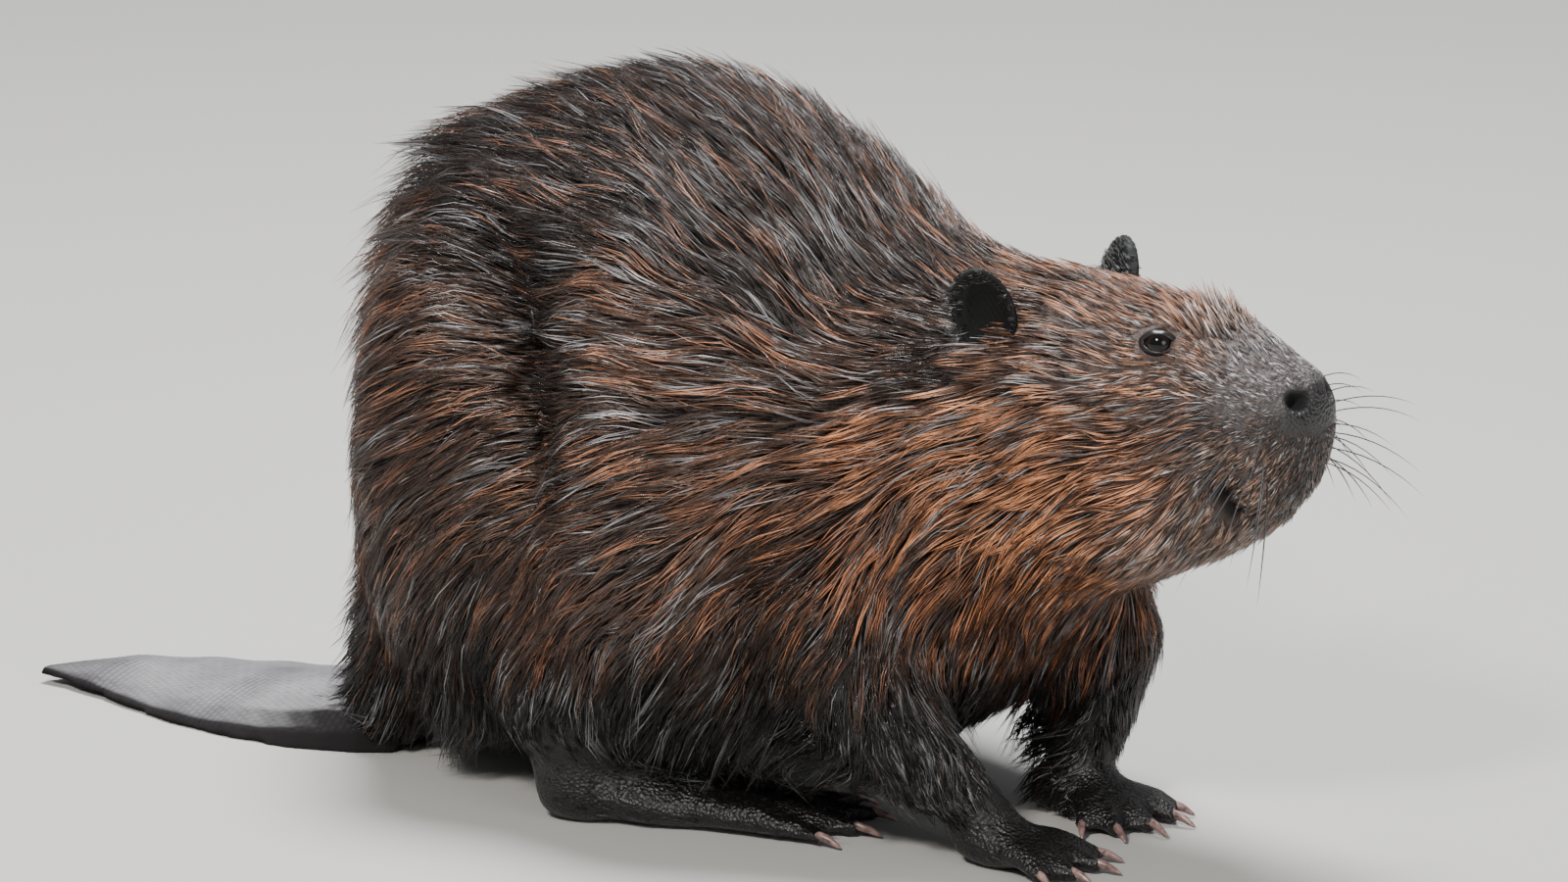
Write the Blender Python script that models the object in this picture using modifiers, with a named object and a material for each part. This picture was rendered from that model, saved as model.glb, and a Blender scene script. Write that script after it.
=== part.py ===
"""A North American beaver standing hunched on all fours, life size, as solids that fill its coat's form.

Metres, +Z up, +X towards the nose, +Y to the animal's left, and the floor at zero. The body is one loft of
oval sections from rump to nose, with the muscles added as ellipsoids and the limbs as tapered chains. It is
fused into a smooth skin, and then parted into head, neck, trunk, tail and legs by thin gaps. Last, everything
is moved so that the whole box stands centred on the origin.
"""

import math
from collections import namedtuple

import bmesh
import bpy
from mathutils import Euler, Matrix, Vector

# ---------------------------------------------------------------- driving sizes

GAP = 0.0004  # clearance between neighbouring solids
HALF_GAP = GAP / 2
CUTTER_SEGMENTS = 16  # round an ellipsoid that parts two nodes

# A section of the body across its length: the coat's lower and upper edge at the middle, the half width and
# the height at which the body is widest.
Station = namedtuple("Station", "x low high half_width widest")

SPINE = {
    "rump end": Station(-0.150, 0.070, 0.196, 0.024, 0.130),
    "rump": Station(-0.138, 0.046, 0.243, 0.050, 0.125),
    "hips": Station(-0.110, 0.028, 0.276, 0.088, 0.115),
    "loin": Station(-0.065, 0.022, 0.296, 0.110, 0.110),
    "back": Station(-0.010, 0.024, 0.310, 0.119, 0.106),
    "ribs": Station(0.035, 0.024, 0.305, 0.121, 0.108),
    "shoulders": Station(0.078, 0.022, 0.284, 0.116, 0.115),
    "neck base": Station(0.118, 0.030, 0.255, 0.098, 0.130),
    "neck": Station(0.156, 0.048, 0.247, 0.080, 0.148),
    "ears": Station(0.190, 0.086, 0.246, 0.066, 0.170),
    "cheeks": Station(0.220, 0.111, 0.244, 0.060, 0.175),
    "eyes": Station(0.252, 0.124, 0.239, 0.049, 0.180),
    "bridge": Station(0.278, 0.138, 0.232, 0.040, 0.181),
    "muzzle": Station(0.296, 0.150, 0.223, 0.030, 0.186),
    "nose": Station(0.309, 0.168, 0.217, 0.021, 0.195),
    "nose tip": Station(0.316, 0.188, 0.211, 0.010, 0.200),
}
STEPS = 5  # rings from one station to the next
RING = 32  # points round a ring
BACK_FULLNESS = 1.0  # 1 is half an ellipse, and less is squarer
BELLY_FULLNESS = 0.78

# Planes that part the head from the neck and the neck from the trunk. Both lean back at the top.
Plane = namedtuple("Plane", "point normal")
HEAD_CUT = Plane(Vector((0.168, 0, 0.205)), Vector((0.94, 0, 0.34)).normalized())
NECK_CUT = Plane(Vector((0.148, 0, 0.180)), Vector((0.91, 0, 0.41)).normalized())
HEAD_ROLL = 4.0  # degrees, its left side down
HEAD_AXIS_HEIGHT = 0.175

EYE_RADIUS = 0.0062
EYE_AT = Vector((0.2535, 0.0305, 0.2250))
EAR_AT = Vector((0.1810, 0.0525, 0.2312))
EAR_HALF = Vector((0.0145, 0.0029, 0.0210))
EAR_CUP = 0.0035  # how far the middle of the ear is pressed in
EAR_LEAN = Euler((math.radians(-12), math.radians(-17), math.radians(-22)), "XYZ")  # out, back and forward

TAIL_FROM = -0.118  # the blade's root, inside the fur
TAIL_TO = -0.316
TAIL_HALF_WIDTH = 0.058
TAIL_WIDEST = 0.36  # as a share of the blade's length
TAIL_ROUNDNESS = 2.3  # of its outline up to the widest place: 2 is an ellipse
TAIL_TAPER = (1.8, 0.8)  # beyond it: how late the outline starts to close, and how bluntly it ends
TAIL_SWING = -0.026  # sideways, at the tip
TAIL_HOOK = 8  # how late the swing comes: 1 is a straight blade
TAIL_LIFT = 0.004  # the tip's rise off the floor
TAIL_FLAT = 0.30  # the share of the blade that lies flat on the floor before that rise
TAIL_STEPS, TAIL_AROUND = 14, 16
TAIL_ROOT_HEIGHT = 0.030
TAIL_EDGE_HEIGHT = 0.0075
TAIL_FULLNESS = 1.15  # of its cross-section: 1 is half an ellipse, and more thins the edges
TAIL_SIDEWAYS = -0.017
TAIL_TIP = 1.01  # where the blade's outline closes, as shares of its length
TAIL_OUTLINE_START = -0.09
TAIL_ROOT_CLEARANCE = 0.003  # from the floor to the fur round the blade's root

UP, DOWN = Vector((0, 0, 1)), Vector((0, 0, -1))
LEFT, RIGHT = 1.0, -1.0
SIDE_NAME = {LEFT: "left", RIGHT: "right"}

# Each foot's heel on the floor, and how far it turns from straight ahead, to the left, in degrees.
Stance = namedtuple("Stance", "heel turn")
FOREFEET = {RIGHT: Stance(Vector((0.178, -0.058, 0)), 12), LEFT: Stance(Vector((0.166, 0.038, 0)), -17)}
HINDFEET = {RIGHT: Stance(Vector((-0.006, -0.100, 0)), 30), LEFT: Stance(Vector((-0.082, 0.098, 0)), -12)}

# A toe from the foot's knuckles: its splay in degrees, sideways place, length, radius and the claw's length.
Toe = namedtuple("Toe", "splay y length radius claw")
FORE_TOES = [
    Toe(-40, -0.0130, 0.020, 0.0052, 0.011),
    Toe(-18, -0.0080, 0.029, 0.0054, 0.013),
    Toe(-2, 0.0000, 0.032, 0.0055, 0.014),
    Toe(15, 0.0080, 0.029, 0.0054, 0.013),
    Toe(36, 0.0130, 0.021, 0.0052, 0.011),
]
HIND_TOES = [
    Toe(-24, -0.0180, 0.050, 0.0062, 0.010),
    Toe(-12, -0.0100, 0.063, 0.0066, 0.012),
    Toe(0, 0.0000, 0.069, 0.0070, 0.013),
    Toe(12, 0.0100, 0.066, 0.0066, 0.013),
    Toe(25, 0.0180, 0.055, 0.0062, 0.012),
]
FORE_KNUCKLES = 0.027  # from the heel
HIND_KNUCKLES = 0.070

# A muscle or another soft mass: an ellipsoid's centre, half sizes and tilt. Pairs are given on the left.
Mass = namedtuple("Mass", "centre half tilt", defaults=(0.0,))
FLANK = Mass((0.032, 0.048, 0.128), (0.086, 0.083, 0.112))
UPPER_ARMS = {
    RIGHT: Mass((0.105, -0.060, 0.125), (0.055, 0.046, 0.072), 10),
    LEFT: Mass((0.120, 0.058, 0.125), (0.055, 0.046, 0.072), 10),
}
TAIL_BASE = Mass((-0.112, -0.008, 0.030), (0.046, 0.057, 0.032))
HEAD_PAIRS = {
    "cheek": Mass((0.224, 0.026, 0.164), (0.052, 0.036, 0.046), 12),
    "whisker pad": Mass((0.286, 0.0160, 0.181), (0.022, 0.0195, 0.021)),
    "brow": Mass((0.254, 0.0225, 0.2245), (0.019, 0.0125, 0.0110), 16),
}
NOSE = Mass((0.304, 0, 0.204), (0.0125, 0.0150, 0.0150))
CHIN = Mass((0.278, 0, 0.158), (0.020, 0.022, 0.014), -20)
# The masses of a hind leg, from its heel: how far the haunch follows the heel, and each one's place.
HAUNCH_FOLLOWS = 0.2
HAUNCH = Mass((-0.064, 0.060, 0.132), (0.058, 0.060, 0.116), -6)
KNEE = Mass((0.016, 0.084, 0.068), (0.062, 0.037, 0.048))
SHANK = Mass((0.008, 0.094, 0.056), (0.034, 0.030, 0.036))

# Limbs and the tail's core, each as its joints and their radii. The right foreleg slants forward to its foot.
FORELEGS = {
    RIGHT: [
        ((0.118, -0.076, 0.100), 0.036),
        ((0.134, -0.074, 0.070), 0.029),
        ((0.163, -0.066, 0.042), 0.020),
        ((0.187, -0.058, 0.018), 0.0150),
    ],
    LEFT: [
        ((0.150, 0.050, 0.108), 0.042),
        ((0.174, 0.046, 0.078), 0.033),
        ((0.176, 0.043, 0.048), 0.022),
        ((0.174, 0.038, 0.018), 0.0150),
    ],
}
TAIL_CORE = [
    ((-0.080, 0.000, 0.085), 0.062),
    ((-0.122, -0.002, 0.054), 0.046),
    ((-0.144, -0.008, 0.030), 0.028),
]

# The ellipsoids that take a node from its neighbour: centre, half sizes and tilt.
FORELEG_ROOM = {
    LEFT: ((0.170, 0.050, 0.055), (0.046, 0.046, 0.082), -14),
    RIGHT: ((0.158, -0.068, 0.045), (0.040, 0.045, 0.085), -40),
}
TAIL_ROOT_ROOM = ((-0.146, -0.004, 0.026), (0.058, 0.074, 0.060))
NOSE_ROOM = ((0.3160, 0, 0.2065), (0.0135, 0.0140, 0.0135))
HINDLEG_ROOM = Mass((-0.040, 0.104, 0.096), (0.078, 0.056, 0.128), -24)
HINDLEG_ROOM_FOLLOWS = 0.6  # how far it follows the heel
WRIST_HEIGHT = 0.024
CLAW_SEAT = 0.003  # how deep a claw sits in its toe
CLAW_ROOT_HEIGHT = 0.0056
CLAW_TIP_HEIGHT = 0.0012
ANKLE_HEIGHT = 0.036

COLLECTION = "beaver"
COLOURS = {
    "brown_coat": ((0.052, 0.028, 0.018), 0.5),
    "ruff_coat": ((0.130, 0.060, 0.030), 0.5),
    "black_coat": ((0.012, 0.010, 0.010), 0.4),
    "ear_skin": ((0.014, 0.012, 0.013), 0.45),
    "nose_skin": ((0.040, 0.038, 0.040), 0.35),
    "tail_scales": ((0.150, 0.150, 0.160), 0.4),
    "claw": ((0.260, 0.160, 0.150), 0.3),
    "eye": ((0.020, 0.010, 0.007), 0.05),
}


# ---------------------------------------------------------------- scene and materials


def clear_scene():
    for obj in list(bpy.data.objects):
        bpy.data.objects.remove(obj, do_unlink=True)


def new_collection():
    made = bpy.data.collections.new(COLLECTION)
    bpy.context.scene.collection.children.link(made)
    return made


def make_material(name):
    colour, roughness = COLOURS[name]
    made = bpy.data.materials.new(name)
    made.use_nodes = True
    shader = made.node_tree.nodes["Principled BSDF"]
    shader.inputs["Base Color"].default_value = (*colour, 1.0)
    shader.inputs["Roughness"].default_value = roughness
    made.diffuse_color = (*colour, 1.0)
    return made


def link(name, mesh):
    obj = bpy.data.objects.new(name, mesh)
    bpy.data.collections[COLLECTION].objects.link(obj)
    return obj


def object_from(name, bm):
    bmesh.ops.recalc_face_normals(bm, faces=bm.faces[:])
    mesh = bpy.data.meshes.new(name)
    bm.to_mesh(mesh)
    bm.free()
    return link(name, mesh)


def apply_modifiers(obj):
    """Turns obj's modifiers into its mesh."""
    graph = bpy.context.evaluated_depsgraph_get()
    mesh = bpy.data.meshes.new_from_object(obj.evaluated_get(graph))
    obj.modifiers.clear()
    obj.data = mesh
    return obj


# ---------------------------------------------------------------- basic forms


def oval(bm, centre, half, tilt=0.0, around=28):
    """An ellipsoid from its centre and half sizes, with its top leaning forward by tilt, in degrees."""
    rotation = Euler((0, math.radians(tilt), 0), "XYZ")
    place = Matrix.LocRotScale(Vector(centre), rotation, Vector(half))
    bmesh.ops.create_uvsphere(bm, u_segments=around, v_segments=around // 2, radius=1.0, matrix=place)


def chain(bm, joints):
    """A limb through (point, radius) joints, each stretch a cone between two balls."""
    for point, radius in joints:
        place = Matrix.Translation(Vector(point))
        bmesh.ops.create_uvsphere(bm, u_segments=16, v_segments=10, radius=radius, matrix=place)
    for (start, r_start), (end, r_end) in zip(joints, joints[1:]):
        start, end = Vector(start), Vector(end)
        along = end - start
        place = Matrix.Translation((start + end) / 2) @ along.to_track_quat("Z", "Y").to_matrix().to_4x4()
        bmesh.ops.create_cone(
            bm, cap_ends=True, segments=16, radius1=r_start, radius2=r_end, depth=along.length, matrix=place
        )


def loft(bm, rings):
    """A closed tube through rings that all hold the same number of points, capped at both ends."""
    rows = [[bm.verts.new(point) for point in ring] for ring in rings]
    for lower, upper in zip(rows, rows[1:]):
        for i in range(len(lower)):
            j = (i + 1) % len(lower)
            bm.faces.new((lower[i], lower[j], upper[j], upper[i]))
    bm.faces.new(rows[0][::-1])
    bm.faces.new(rows[-1])


def blend(values, t):
    """A smooth curve through four values, between the second and the third."""
    a, b, c, d = values
    return b + 0.5 * t * (c - a + t * (2 * a - 5 * b + 4 * c - d + t * (3 * (b - c) + d - a)))


def spine_sections():
    """The body's sections, close together, from the rump to the nose."""
    stations = list(SPINE.values())
    last = len(stations) - 1
    found = []
    for i in range(last):
        around = [stations[min(max(i + k, 0), last)] for k in (-1, 0, 1, 2)]
        found += [Station(*(blend(v, s / STEPS) for v in zip(*around))) for s in range(STEPS)]
    return found + [stations[-1]]


def section_ring(section):
    points = []
    for i in range(RING):
        angle = 2 * math.pi * i / RING
        fullness = BACK_FULLNESS if math.sin(angle) > 0 else BELLY_FULLNESS
        across = math.copysign(abs(math.cos(angle)) ** fullness, math.cos(angle))
        rise = math.copysign(abs(math.sin(angle)) ** fullness, math.sin(angle))
        height = section.high - section.widest if rise > 0 else section.widest - section.low
        points.append((section.x, across * section.half_width, section.widest + rise * height))
    return points


def fuse(obj, voxel, rounds, triangles):
    """Turns overlapping closed shapes into one smooth skin with about this many triangles."""
    remesh = obj.modifiers.new("skin", "REMESH")
    remesh.mode = "VOXEL"
    remesh.voxel_size = voxel
    soften = obj.modifiers.new("soften", "SMOOTH")
    soften.factor = 0.5
    soften.iterations = rounds
    apply_modifiers(obj)
    fewer = obj.modifiers.new("fewer", "DECIMATE")
    fewer.ratio = min(1.0, triangles / sum(len(face.vertices) - 2 for face in obj.data.polygons))
    return apply_modifiers(obj)


# ---------------------------------------------------------------- cutting


def keep_behind(obj, point, normal):
    """Cuts obj at a plane and keeps what the normal points away from, closed by a flat face."""
    bm = bmesh.new()
    bm.from_mesh(obj.data)
    geometry = bm.verts[:] + bm.edges[:] + bm.faces[:]
    bmesh.ops.bisect_plane(bm, geom=geometry, plane_co=point, plane_no=normal, clear_outer=True, dist=1e-6)
    rim = [edge for edge in bm.edges if edge.is_boundary]
    bmesh.ops.triangle_fill(bm, edges=rim, use_beauty=True, normal=normal)
    bmesh.ops.remove_doubles(bm, verts=bm.verts[:], dist=1e-6)
    bmesh.ops.recalc_face_normals(bm, faces=bm.faces[:])
    bm.to_mesh(obj.data)
    bm.free()
    return obj


def part_at(obj, name, plane):
    """Parts obj in two at a plane. It keeps what lies behind, and a new object takes the rest."""
    other = link(name, obj.data.copy())
    keep_behind(obj, plane.point - plane.normal * HALF_GAP, plane.normal)
    return keep_behind(other, plane.point + plane.normal * HALF_GAP, -plane.normal)


def drop_crumbs(obj):
    """Removes the slivers that a cut leaves loose beside the piece itself."""
    bm = bmesh.new()
    bm.from_mesh(obj.data)
    left = set(bm.verts)
    pieces = []
    while left:
        piece, queue = set(), [next(iter(left))]
        while queue:
            vert = queue.pop()
            if vert not in piece:
                piece.add(vert)
                queue += [edge.other_vert(vert) for edge in vert.link_edges]
        pieces.append(piece)
        left -= piece
    for piece in sorted(pieces, key=len)[:-1]:
        bmesh.ops.delete(bm, geom=list(piece), context="VERTS")
    bm.to_mesh(obj.data)
    bm.free()


def combine(obj, cutter, operation):
    """Applies one Boolean to obj and removes the cutter."""
    cut = obj.modifiers.new("cut", "BOOLEAN")
    cut.operation = operation
    cut.object = cutter
    apply_modifiers(obj)
    drop_crumbs(obj)
    bpy.data.objects.remove(cutter, do_unlink=True)
    return obj


def part_by_oval(obj, name, centre, half, tilt=0.0):
    """Parts obj at an ellipsoid's surface. A new object takes what lies inside."""
    other = link(name, obj.data.copy())
    for piece, operation, extra in ((other, "INTERSECT", -HALF_GAP), (obj, "DIFFERENCE", HALF_GAP)):
        bm = bmesh.new()
        oval(bm, centre, [size + extra for size in half], tilt, around=CUTTER_SEGMENTS)
        combine(piece, object_from("cutter", bm), operation)
    return other


def make_room(obj, *others):
    """Cuts a seat from obj for each of the others, one gap wider than it."""
    for other in others:
        cutter = link("cutter", other.data.copy())
        wider = cutter.modifiers.new("wider", "DISPLACE")
        wider.mid_level = 0.0
        wider.strength = GAP
        combine(obj, apply_modifiers(cutter), "DIFFERENCE")
    return obj


# ---------------------------------------------------------------- body and legs


def add_spine(bm, start, end):
    loft(bm, [section_ring(section) for section in spine_sections() if start <= section.x <= end])


def add_mass(bm, mass, side=LEFT, forward=0.0):
    """Adds a mass as it is on the left, or mirrored to the right, and moved forward."""
    x, y, z = mass.centre
    oval(bm, (x + forward, side * y, z), mass.half, mass.tilt)


def add_limbs(bm):
    """Forelegs with their upper arms, and haunch, knee and shank. The left hind leg stands further back."""
    for side in SIDE_NAME:
        add_mass(bm, UPPER_ARMS[side])
        chain(bm, FORELEGS[side])
        heel = HINDFEET[side].heel
        add_mass(bm, HAUNCH, side, HAUNCH_FOLLOWS * heel.x)
        add_mass(bm, KNEE, side, heel.x)
        add_mass(bm, SHANK, side, heel.x)


def make_body():
    bm = bmesh.new()
    add_spine(bm, SPINE["rump end"].x, SPINE["eyes"].x)
    for side in SIDE_NAME:
        add_mass(bm, FLANK, side)
    add_limbs(bm)
    chain(bm, TAIL_CORE)
    add_mass(bm, TAIL_BASE)
    return fuse(object_from("trunk", bm), voxel=0.0036, rounds=8, triangles=1800)


# ---------------------------------------------------------------- head


def head_roll():
    """The head leans to its left about the line through the middle of the neck."""
    axis = Matrix.Translation((0, 0, HEAD_AXIS_HEIGHT))
    return axis @ Matrix.Rotation(math.radians(-HEAD_ROLL), 4, "X") @ axis.inverted()


def make_head():
    bm = bmesh.new()
    add_spine(bm, SPINE["neck base"].x, SPINE["nose tip"].x)
    for mass in HEAD_PAIRS.values():
        for side in SIDE_NAME:
            add_mass(bm, mass, side)
    add_mass(bm, NOSE)
    add_mass(bm, CHIN)
    bm.transform(head_roll())
    return fuse(object_from("head", bm), voxel=0.0022, rounds=5, triangles=1160)


def make_eye(side):
    bm = bmesh.new()
    place = head_roll() @ Matrix.Translation((EYE_AT.x, side * EYE_AT.y, EYE_AT.z))
    bmesh.ops.create_uvsphere(bm, u_segments=12, v_segments=7, radius=EYE_RADIUS, matrix=place)
    return object_from("eye_" + SIDE_NAME[side], bm)


def make_ear(side):
    """A rounded leaf, pressed in on its outer face, standing on its foot."""
    bm = bmesh.new()
    bmesh.ops.create_uvsphere(bm, u_segments=12, v_segments=7, radius=1.0)
    for vert in bm.verts:
        x, y, z = vert.co
        hollow = EAR_CUP * max(0.0, 1.0 - x * x - z * z)
        vert.co = (x * EAR_HALF.x, y * EAR_HALF.y - hollow, z * EAR_HALF.z)
    bm.transform(Matrix.Translation(EAR_AT) @ EAR_LEAN.to_matrix().to_4x4())
    if side == RIGHT:
        bmesh.ops.scale(bm, vec=(1, -1, 1), verts=bm.verts[:])
    bm.transform(head_roll())
    return object_from("ear_" + SIDE_NAME[side], bm)


# ---------------------------------------------------------------- tail


def tail_half_width(along):
    """The blade's outline is two unlike ovals that meet where it is widest."""
    if along < TAIL_WIDEST:
        out = (along - TAIL_WIDEST) / (TAIL_OUTLINE_START - TAIL_WIDEST)
        return TAIL_HALF_WIDTH * math.sqrt(max(0.0, 1 - out ** TAIL_ROUNDNESS))
    start, bluntness = TAIL_TAPER
    out = (along - TAIL_WIDEST) / (TAIL_TIP - TAIL_WIDEST)
    return TAIL_HALF_WIDTH * (1 - out ** start) ** bluntness


def tail_height(along):
    """Thick at the root, thinner along the blade, and thinned again just before the tip."""
    height = TAIL_EDGE_HEIGHT + (TAIL_ROOT_HEIGHT - TAIL_EDGE_HEIGHT) * (1 - along) ** 2.2
    return height * min(1.0, 0.45 + 4 * (1 - along))


def make_tail():
    """The flat blade, resting on the floor, bent sideways and a little raised at the tip."""
    rings = []
    for i in range(TAIL_STEPS + 1):
        along = i / TAIL_STEPS
        x = TAIL_FROM + (TAIL_TO - TAIL_FROM) * along
        middle = TAIL_SIDEWAYS + TAIL_SWING * along ** TAIL_HOOK
        floor = TAIL_LIFT * max(0.0, (along - TAIL_FLAT) / (1 - TAIL_FLAT)) ** 2
        ring = []
        for k in range(TAIL_AROUND):
            angle = 2 * math.pi * k / TAIL_AROUND
            rise = max(0.0, math.sin(angle)) ** TAIL_FULLNESS * tail_height(along)
            ring.append((x, middle + math.cos(angle) * tail_half_width(along), floor + rise))
        rings.append(ring)
    bm = bmesh.new()
    loft(bm, rings)
    bmesh.ops.triangulate(bm, faces=bm.faces[:])
    return object_from("tail", bm)


# ---------------------------------------------------------------- feet and claws


def foot_place(stance):
    return Matrix.Translation(stance.heel) @ Matrix.Rotation(math.radians(stance.turn), 4, "Z")


def toe_line(toe, knuckles, side):
    """A toe's root and its direction, in the foot's frame. Toes are listed from the foot's outer edge."""
    splay = math.radians(side * toe.splay)
    return Vector((knuckles, side * toe.y, 0)), Vector((math.cos(splay), math.sin(splay), 0))


def make_claw(name, place, toe, knuckles, side):
    """A curved, pointed claw that grows from the top of the toe's tip down to the floor."""
    root, forward = toe_line(toe, knuckles, side)
    start = root + forward * (toe.length - CLAW_SEAT) + UP * CLAW_ROOT_HEIGHT
    across = forward.cross(UP)
    rings = []
    for along, radius in ((0.0, 0.0020), (0.55, 0.0017), (1.0, 0.0005)):
        centre = start + forward * toe.claw * along - UP * (CLAW_ROOT_HEIGHT - CLAW_TIP_HEIGHT) * along ** 2
        turns = [2 * math.pi * k / 5 for k in range(5)]
        rings.append([centre + (across * math.cos(a) + UP * 1.2 * math.sin(a)) * radius for a in turns])
    bm = bmesh.new()
    loft(bm, rings)
    bm.transform(place)
    bmesh.ops.triangulate(bm, faces=bm.faces[:])
    return object_from(name, bm)


def finish_foot(name, bm, place, top, claws, triangles):
    """Fuses a foot, flattens its sole on the floor, cuts it off at its top and seats its claws."""
    bm.transform(place)
    foot = fuse(object_from(name, bm), voxel=0.0014, rounds=3, triangles=triangles)
    keep_behind(foot, Vector(), DOWN)
    keep_behind(foot, UP * (top - HALF_GAP), UP)
    return make_room(foot, *claws)


def make_forefoot(side):
    stance = FOREFEET[side]
    place = foot_place(stance)
    name = "forefoot_" + SIDE_NAME[side]
    bm = bmesh.new()
    chain(bm, [((0.007, 0, 0.034), 0.0155), ((0.008, 0, 0.014), 0.0150)])
    oval(bm, (0.016, 0, 0.010), (0.020, 0.0165, 0.0125), tilt=10)
    for toe in FORE_TOES:
        root, forward = toe_line(toe, FORE_KNUCKLES, side)
        tip = root + forward * toe.length
        knee = root + forward * toe.length * 0.5
        chain(bm, [
            (root * 0.7 + UP * 0.010, toe.radius * 1.25),
            (knee + UP * 0.0085, toe.radius * 1.05),
            (tip + UP * 0.0035, toe.radius * 0.9),
        ])
    claws = [
        make_claw(f"claw_{name}_{i + 1}", place, toe, FORE_KNUCKLES, side)
        for i, toe in enumerate(FORE_TOES)
    ]
    return finish_foot(name, bm, place, WRIST_HEIGHT, claws, triangles=250), claws


def make_hindfoot(side):
    """The long sole, with skin between the toes almost to their tips."""
    stance = HINDFEET[side]
    place = foot_place(stance)
    name = "hindfoot_" + SIDE_NAME[side]
    bm = bmesh.new()
    chain(bm, [((0.011, 0, 0.046), 0.0205), ((0.014, 0, 0.018), 0.0195)])
    oval(bm, (0.020, 0, 0.013), (0.026, 0.0175, 0.017))
    oval(bm, (0.052, 0, 0.010), (0.036, 0.0250, 0.0135), tilt=6)
    lines = [(toe, *toe_line(toe, HIND_KNUCKLES, side)) for toe in HIND_TOES]
    for toe, root, forward in lines:
        chain(bm, [
            (root * 0.75 + UP * 0.0105, toe.radius * 1.2),
            (root + forward * toe.length * 0.5 + UP * 0.0085, toe.radius),
            (root + forward * toe.length + UP * 0.0035, toe.radius * 0.75),
        ])
    for (toe, root, forward), (next_toe, next_root, next_forward) in zip(lines, lines[1:]):
        reach, next_reach = toe.length * 0.86, next_toe.length * 0.86
        corners = [root * 0.8, root + forward * reach, next_root + next_forward * next_reach, next_root * 0.8]
        loft(bm, [[corner + UP * z for corner in corners] for z in (0.0008, 0.0046)])
    claws = [
        make_claw(f"claw_{name}_{i + 1}", place, toe, HIND_KNUCKLES, side)
        for i, toe in enumerate(HIND_TOES)
    ]
    return finish_foot(name, bm, place, ANKLE_HEIGHT, claws, triangles=290), claws


# ---------------------------------------------------------------- parting and finish


def part_legs(trunk):
    """Parts the four legs from the trunk. A foreleg ends one gap above its foot."""
    legs = {}
    for side, room in FORELEG_ROOM.items():
        leg = part_by_oval(trunk, "foreleg_" + SIDE_NAME[side], *room)
        legs[leg.name] = keep_behind(leg, UP * (WRIST_HEIGHT + HALF_GAP), DOWN)
        (x, y, z), half, tilt = HINDLEG_ROOM
        centre = (x + HINDLEG_ROOM_FOLLOWS * HINDFEET[side].heel.x, side * y, z)
        leg = part_by_oval(trunk, "hindleg_" + SIDE_NAME[side], centre, half, tilt)
        legs[leg.name] = leg
    return legs


def dress(objects, name):
    """Gives each object the named material and smooth shading."""
    made = bpy.data.materials.get(name) or make_material(name)
    for obj in objects:
        obj.data.materials.clear()
        obj.data.materials.append(made)
        obj.data.shade_smooth()
        obj.data.set_sharp_from_angle(angle=math.radians(50))


def stand_on_origin(objects):
    """Moves everything so that the box of the whole animal is centred over the origin, on the floor."""
    points = [vert.co for obj in objects for vert in obj.data.vertices]
    low = [min(point[axis] for point in points) for axis in range(3)]
    high = [max(point[axis] for point in points) for axis in range(3)]
    shift = Vector((-(low[0] + high[0]) / 2, -(low[1] + high[1]) / 2, -low[2]))
    for obj in objects:
        obj.location = shift


def main():
    clear_scene()
    collection = new_collection()

    trunk = make_body()
    keep_behind(trunk, HEAD_CUT.point - HEAD_CUT.normal * HALF_GAP, HEAD_CUT.normal)
    legs = part_legs(trunk)
    neck = part_at(trunk, "neck", NECK_CUT)
    tail = make_tail()
    tail_root = part_by_oval(trunk, "tail_root", *TAIL_ROOT_ROOM)
    keep_behind(tail_root, Vector((0, 0, TAIL_ROOT_CLEARANCE)), DOWN)

    head = make_head()
    keep_behind(head, HEAD_CUT.point + HEAD_CUT.normal * HALF_GAP, -HEAD_CUT.normal)
    eyes = [make_eye(side) for side in SIDE_NAME]
    ears = [make_ear(side) for side in SIDE_NAME]
    make_room(head, *eyes, *ears)
    nose = part_by_oval(head, "nose", *NOSE_ROOM)

    feet, claws = {}, []
    for side in SIDE_NAME:
        for make in (make_forefoot, make_hindfoot):
            foot, its_claws = make(side)
            feet[foot.name] = foot
            claws += its_claws
        make_room(legs["hindleg_" + SIDE_NAME[side]], foot)
        make_room(trunk, foot)
    make_room(tail_root, tail)
    make_room(trunk, tail)

    objects = list(collection.objects)
    dress([trunk, tail_root], "brown_coat")
    dress([head, neck], "ruff_coat")
    dress([*legs.values(), *feet.values()], "black_coat")
    dress(ears, "ear_skin")
    dress([nose], "nose_skin")
    dress([tail], "tail_scales")
    dress(claws, "claw")
    dress(eyes, "eye")
    stand_on_origin(objects)


main()
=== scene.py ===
"""A wet North American beaver, life size: skin, coat, face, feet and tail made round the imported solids.

Metres, +Z up, +X towards the nose, the floor at zero. The skin is one surface grown from all the solids and
let in by the depth of the coat. GUIDES says, place by place, which way the hair lies, how long it is and what
colour it has. Skin and coat both read it, so they carry the same markings.
"""

import math
from collections import namedtuple

import bmesh
import bpy
import numpy as np
from mathutils import Matrix, Vector
from mathutils.bvhtree import BVHTree
from mathutils.kdtree import KDTree


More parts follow.
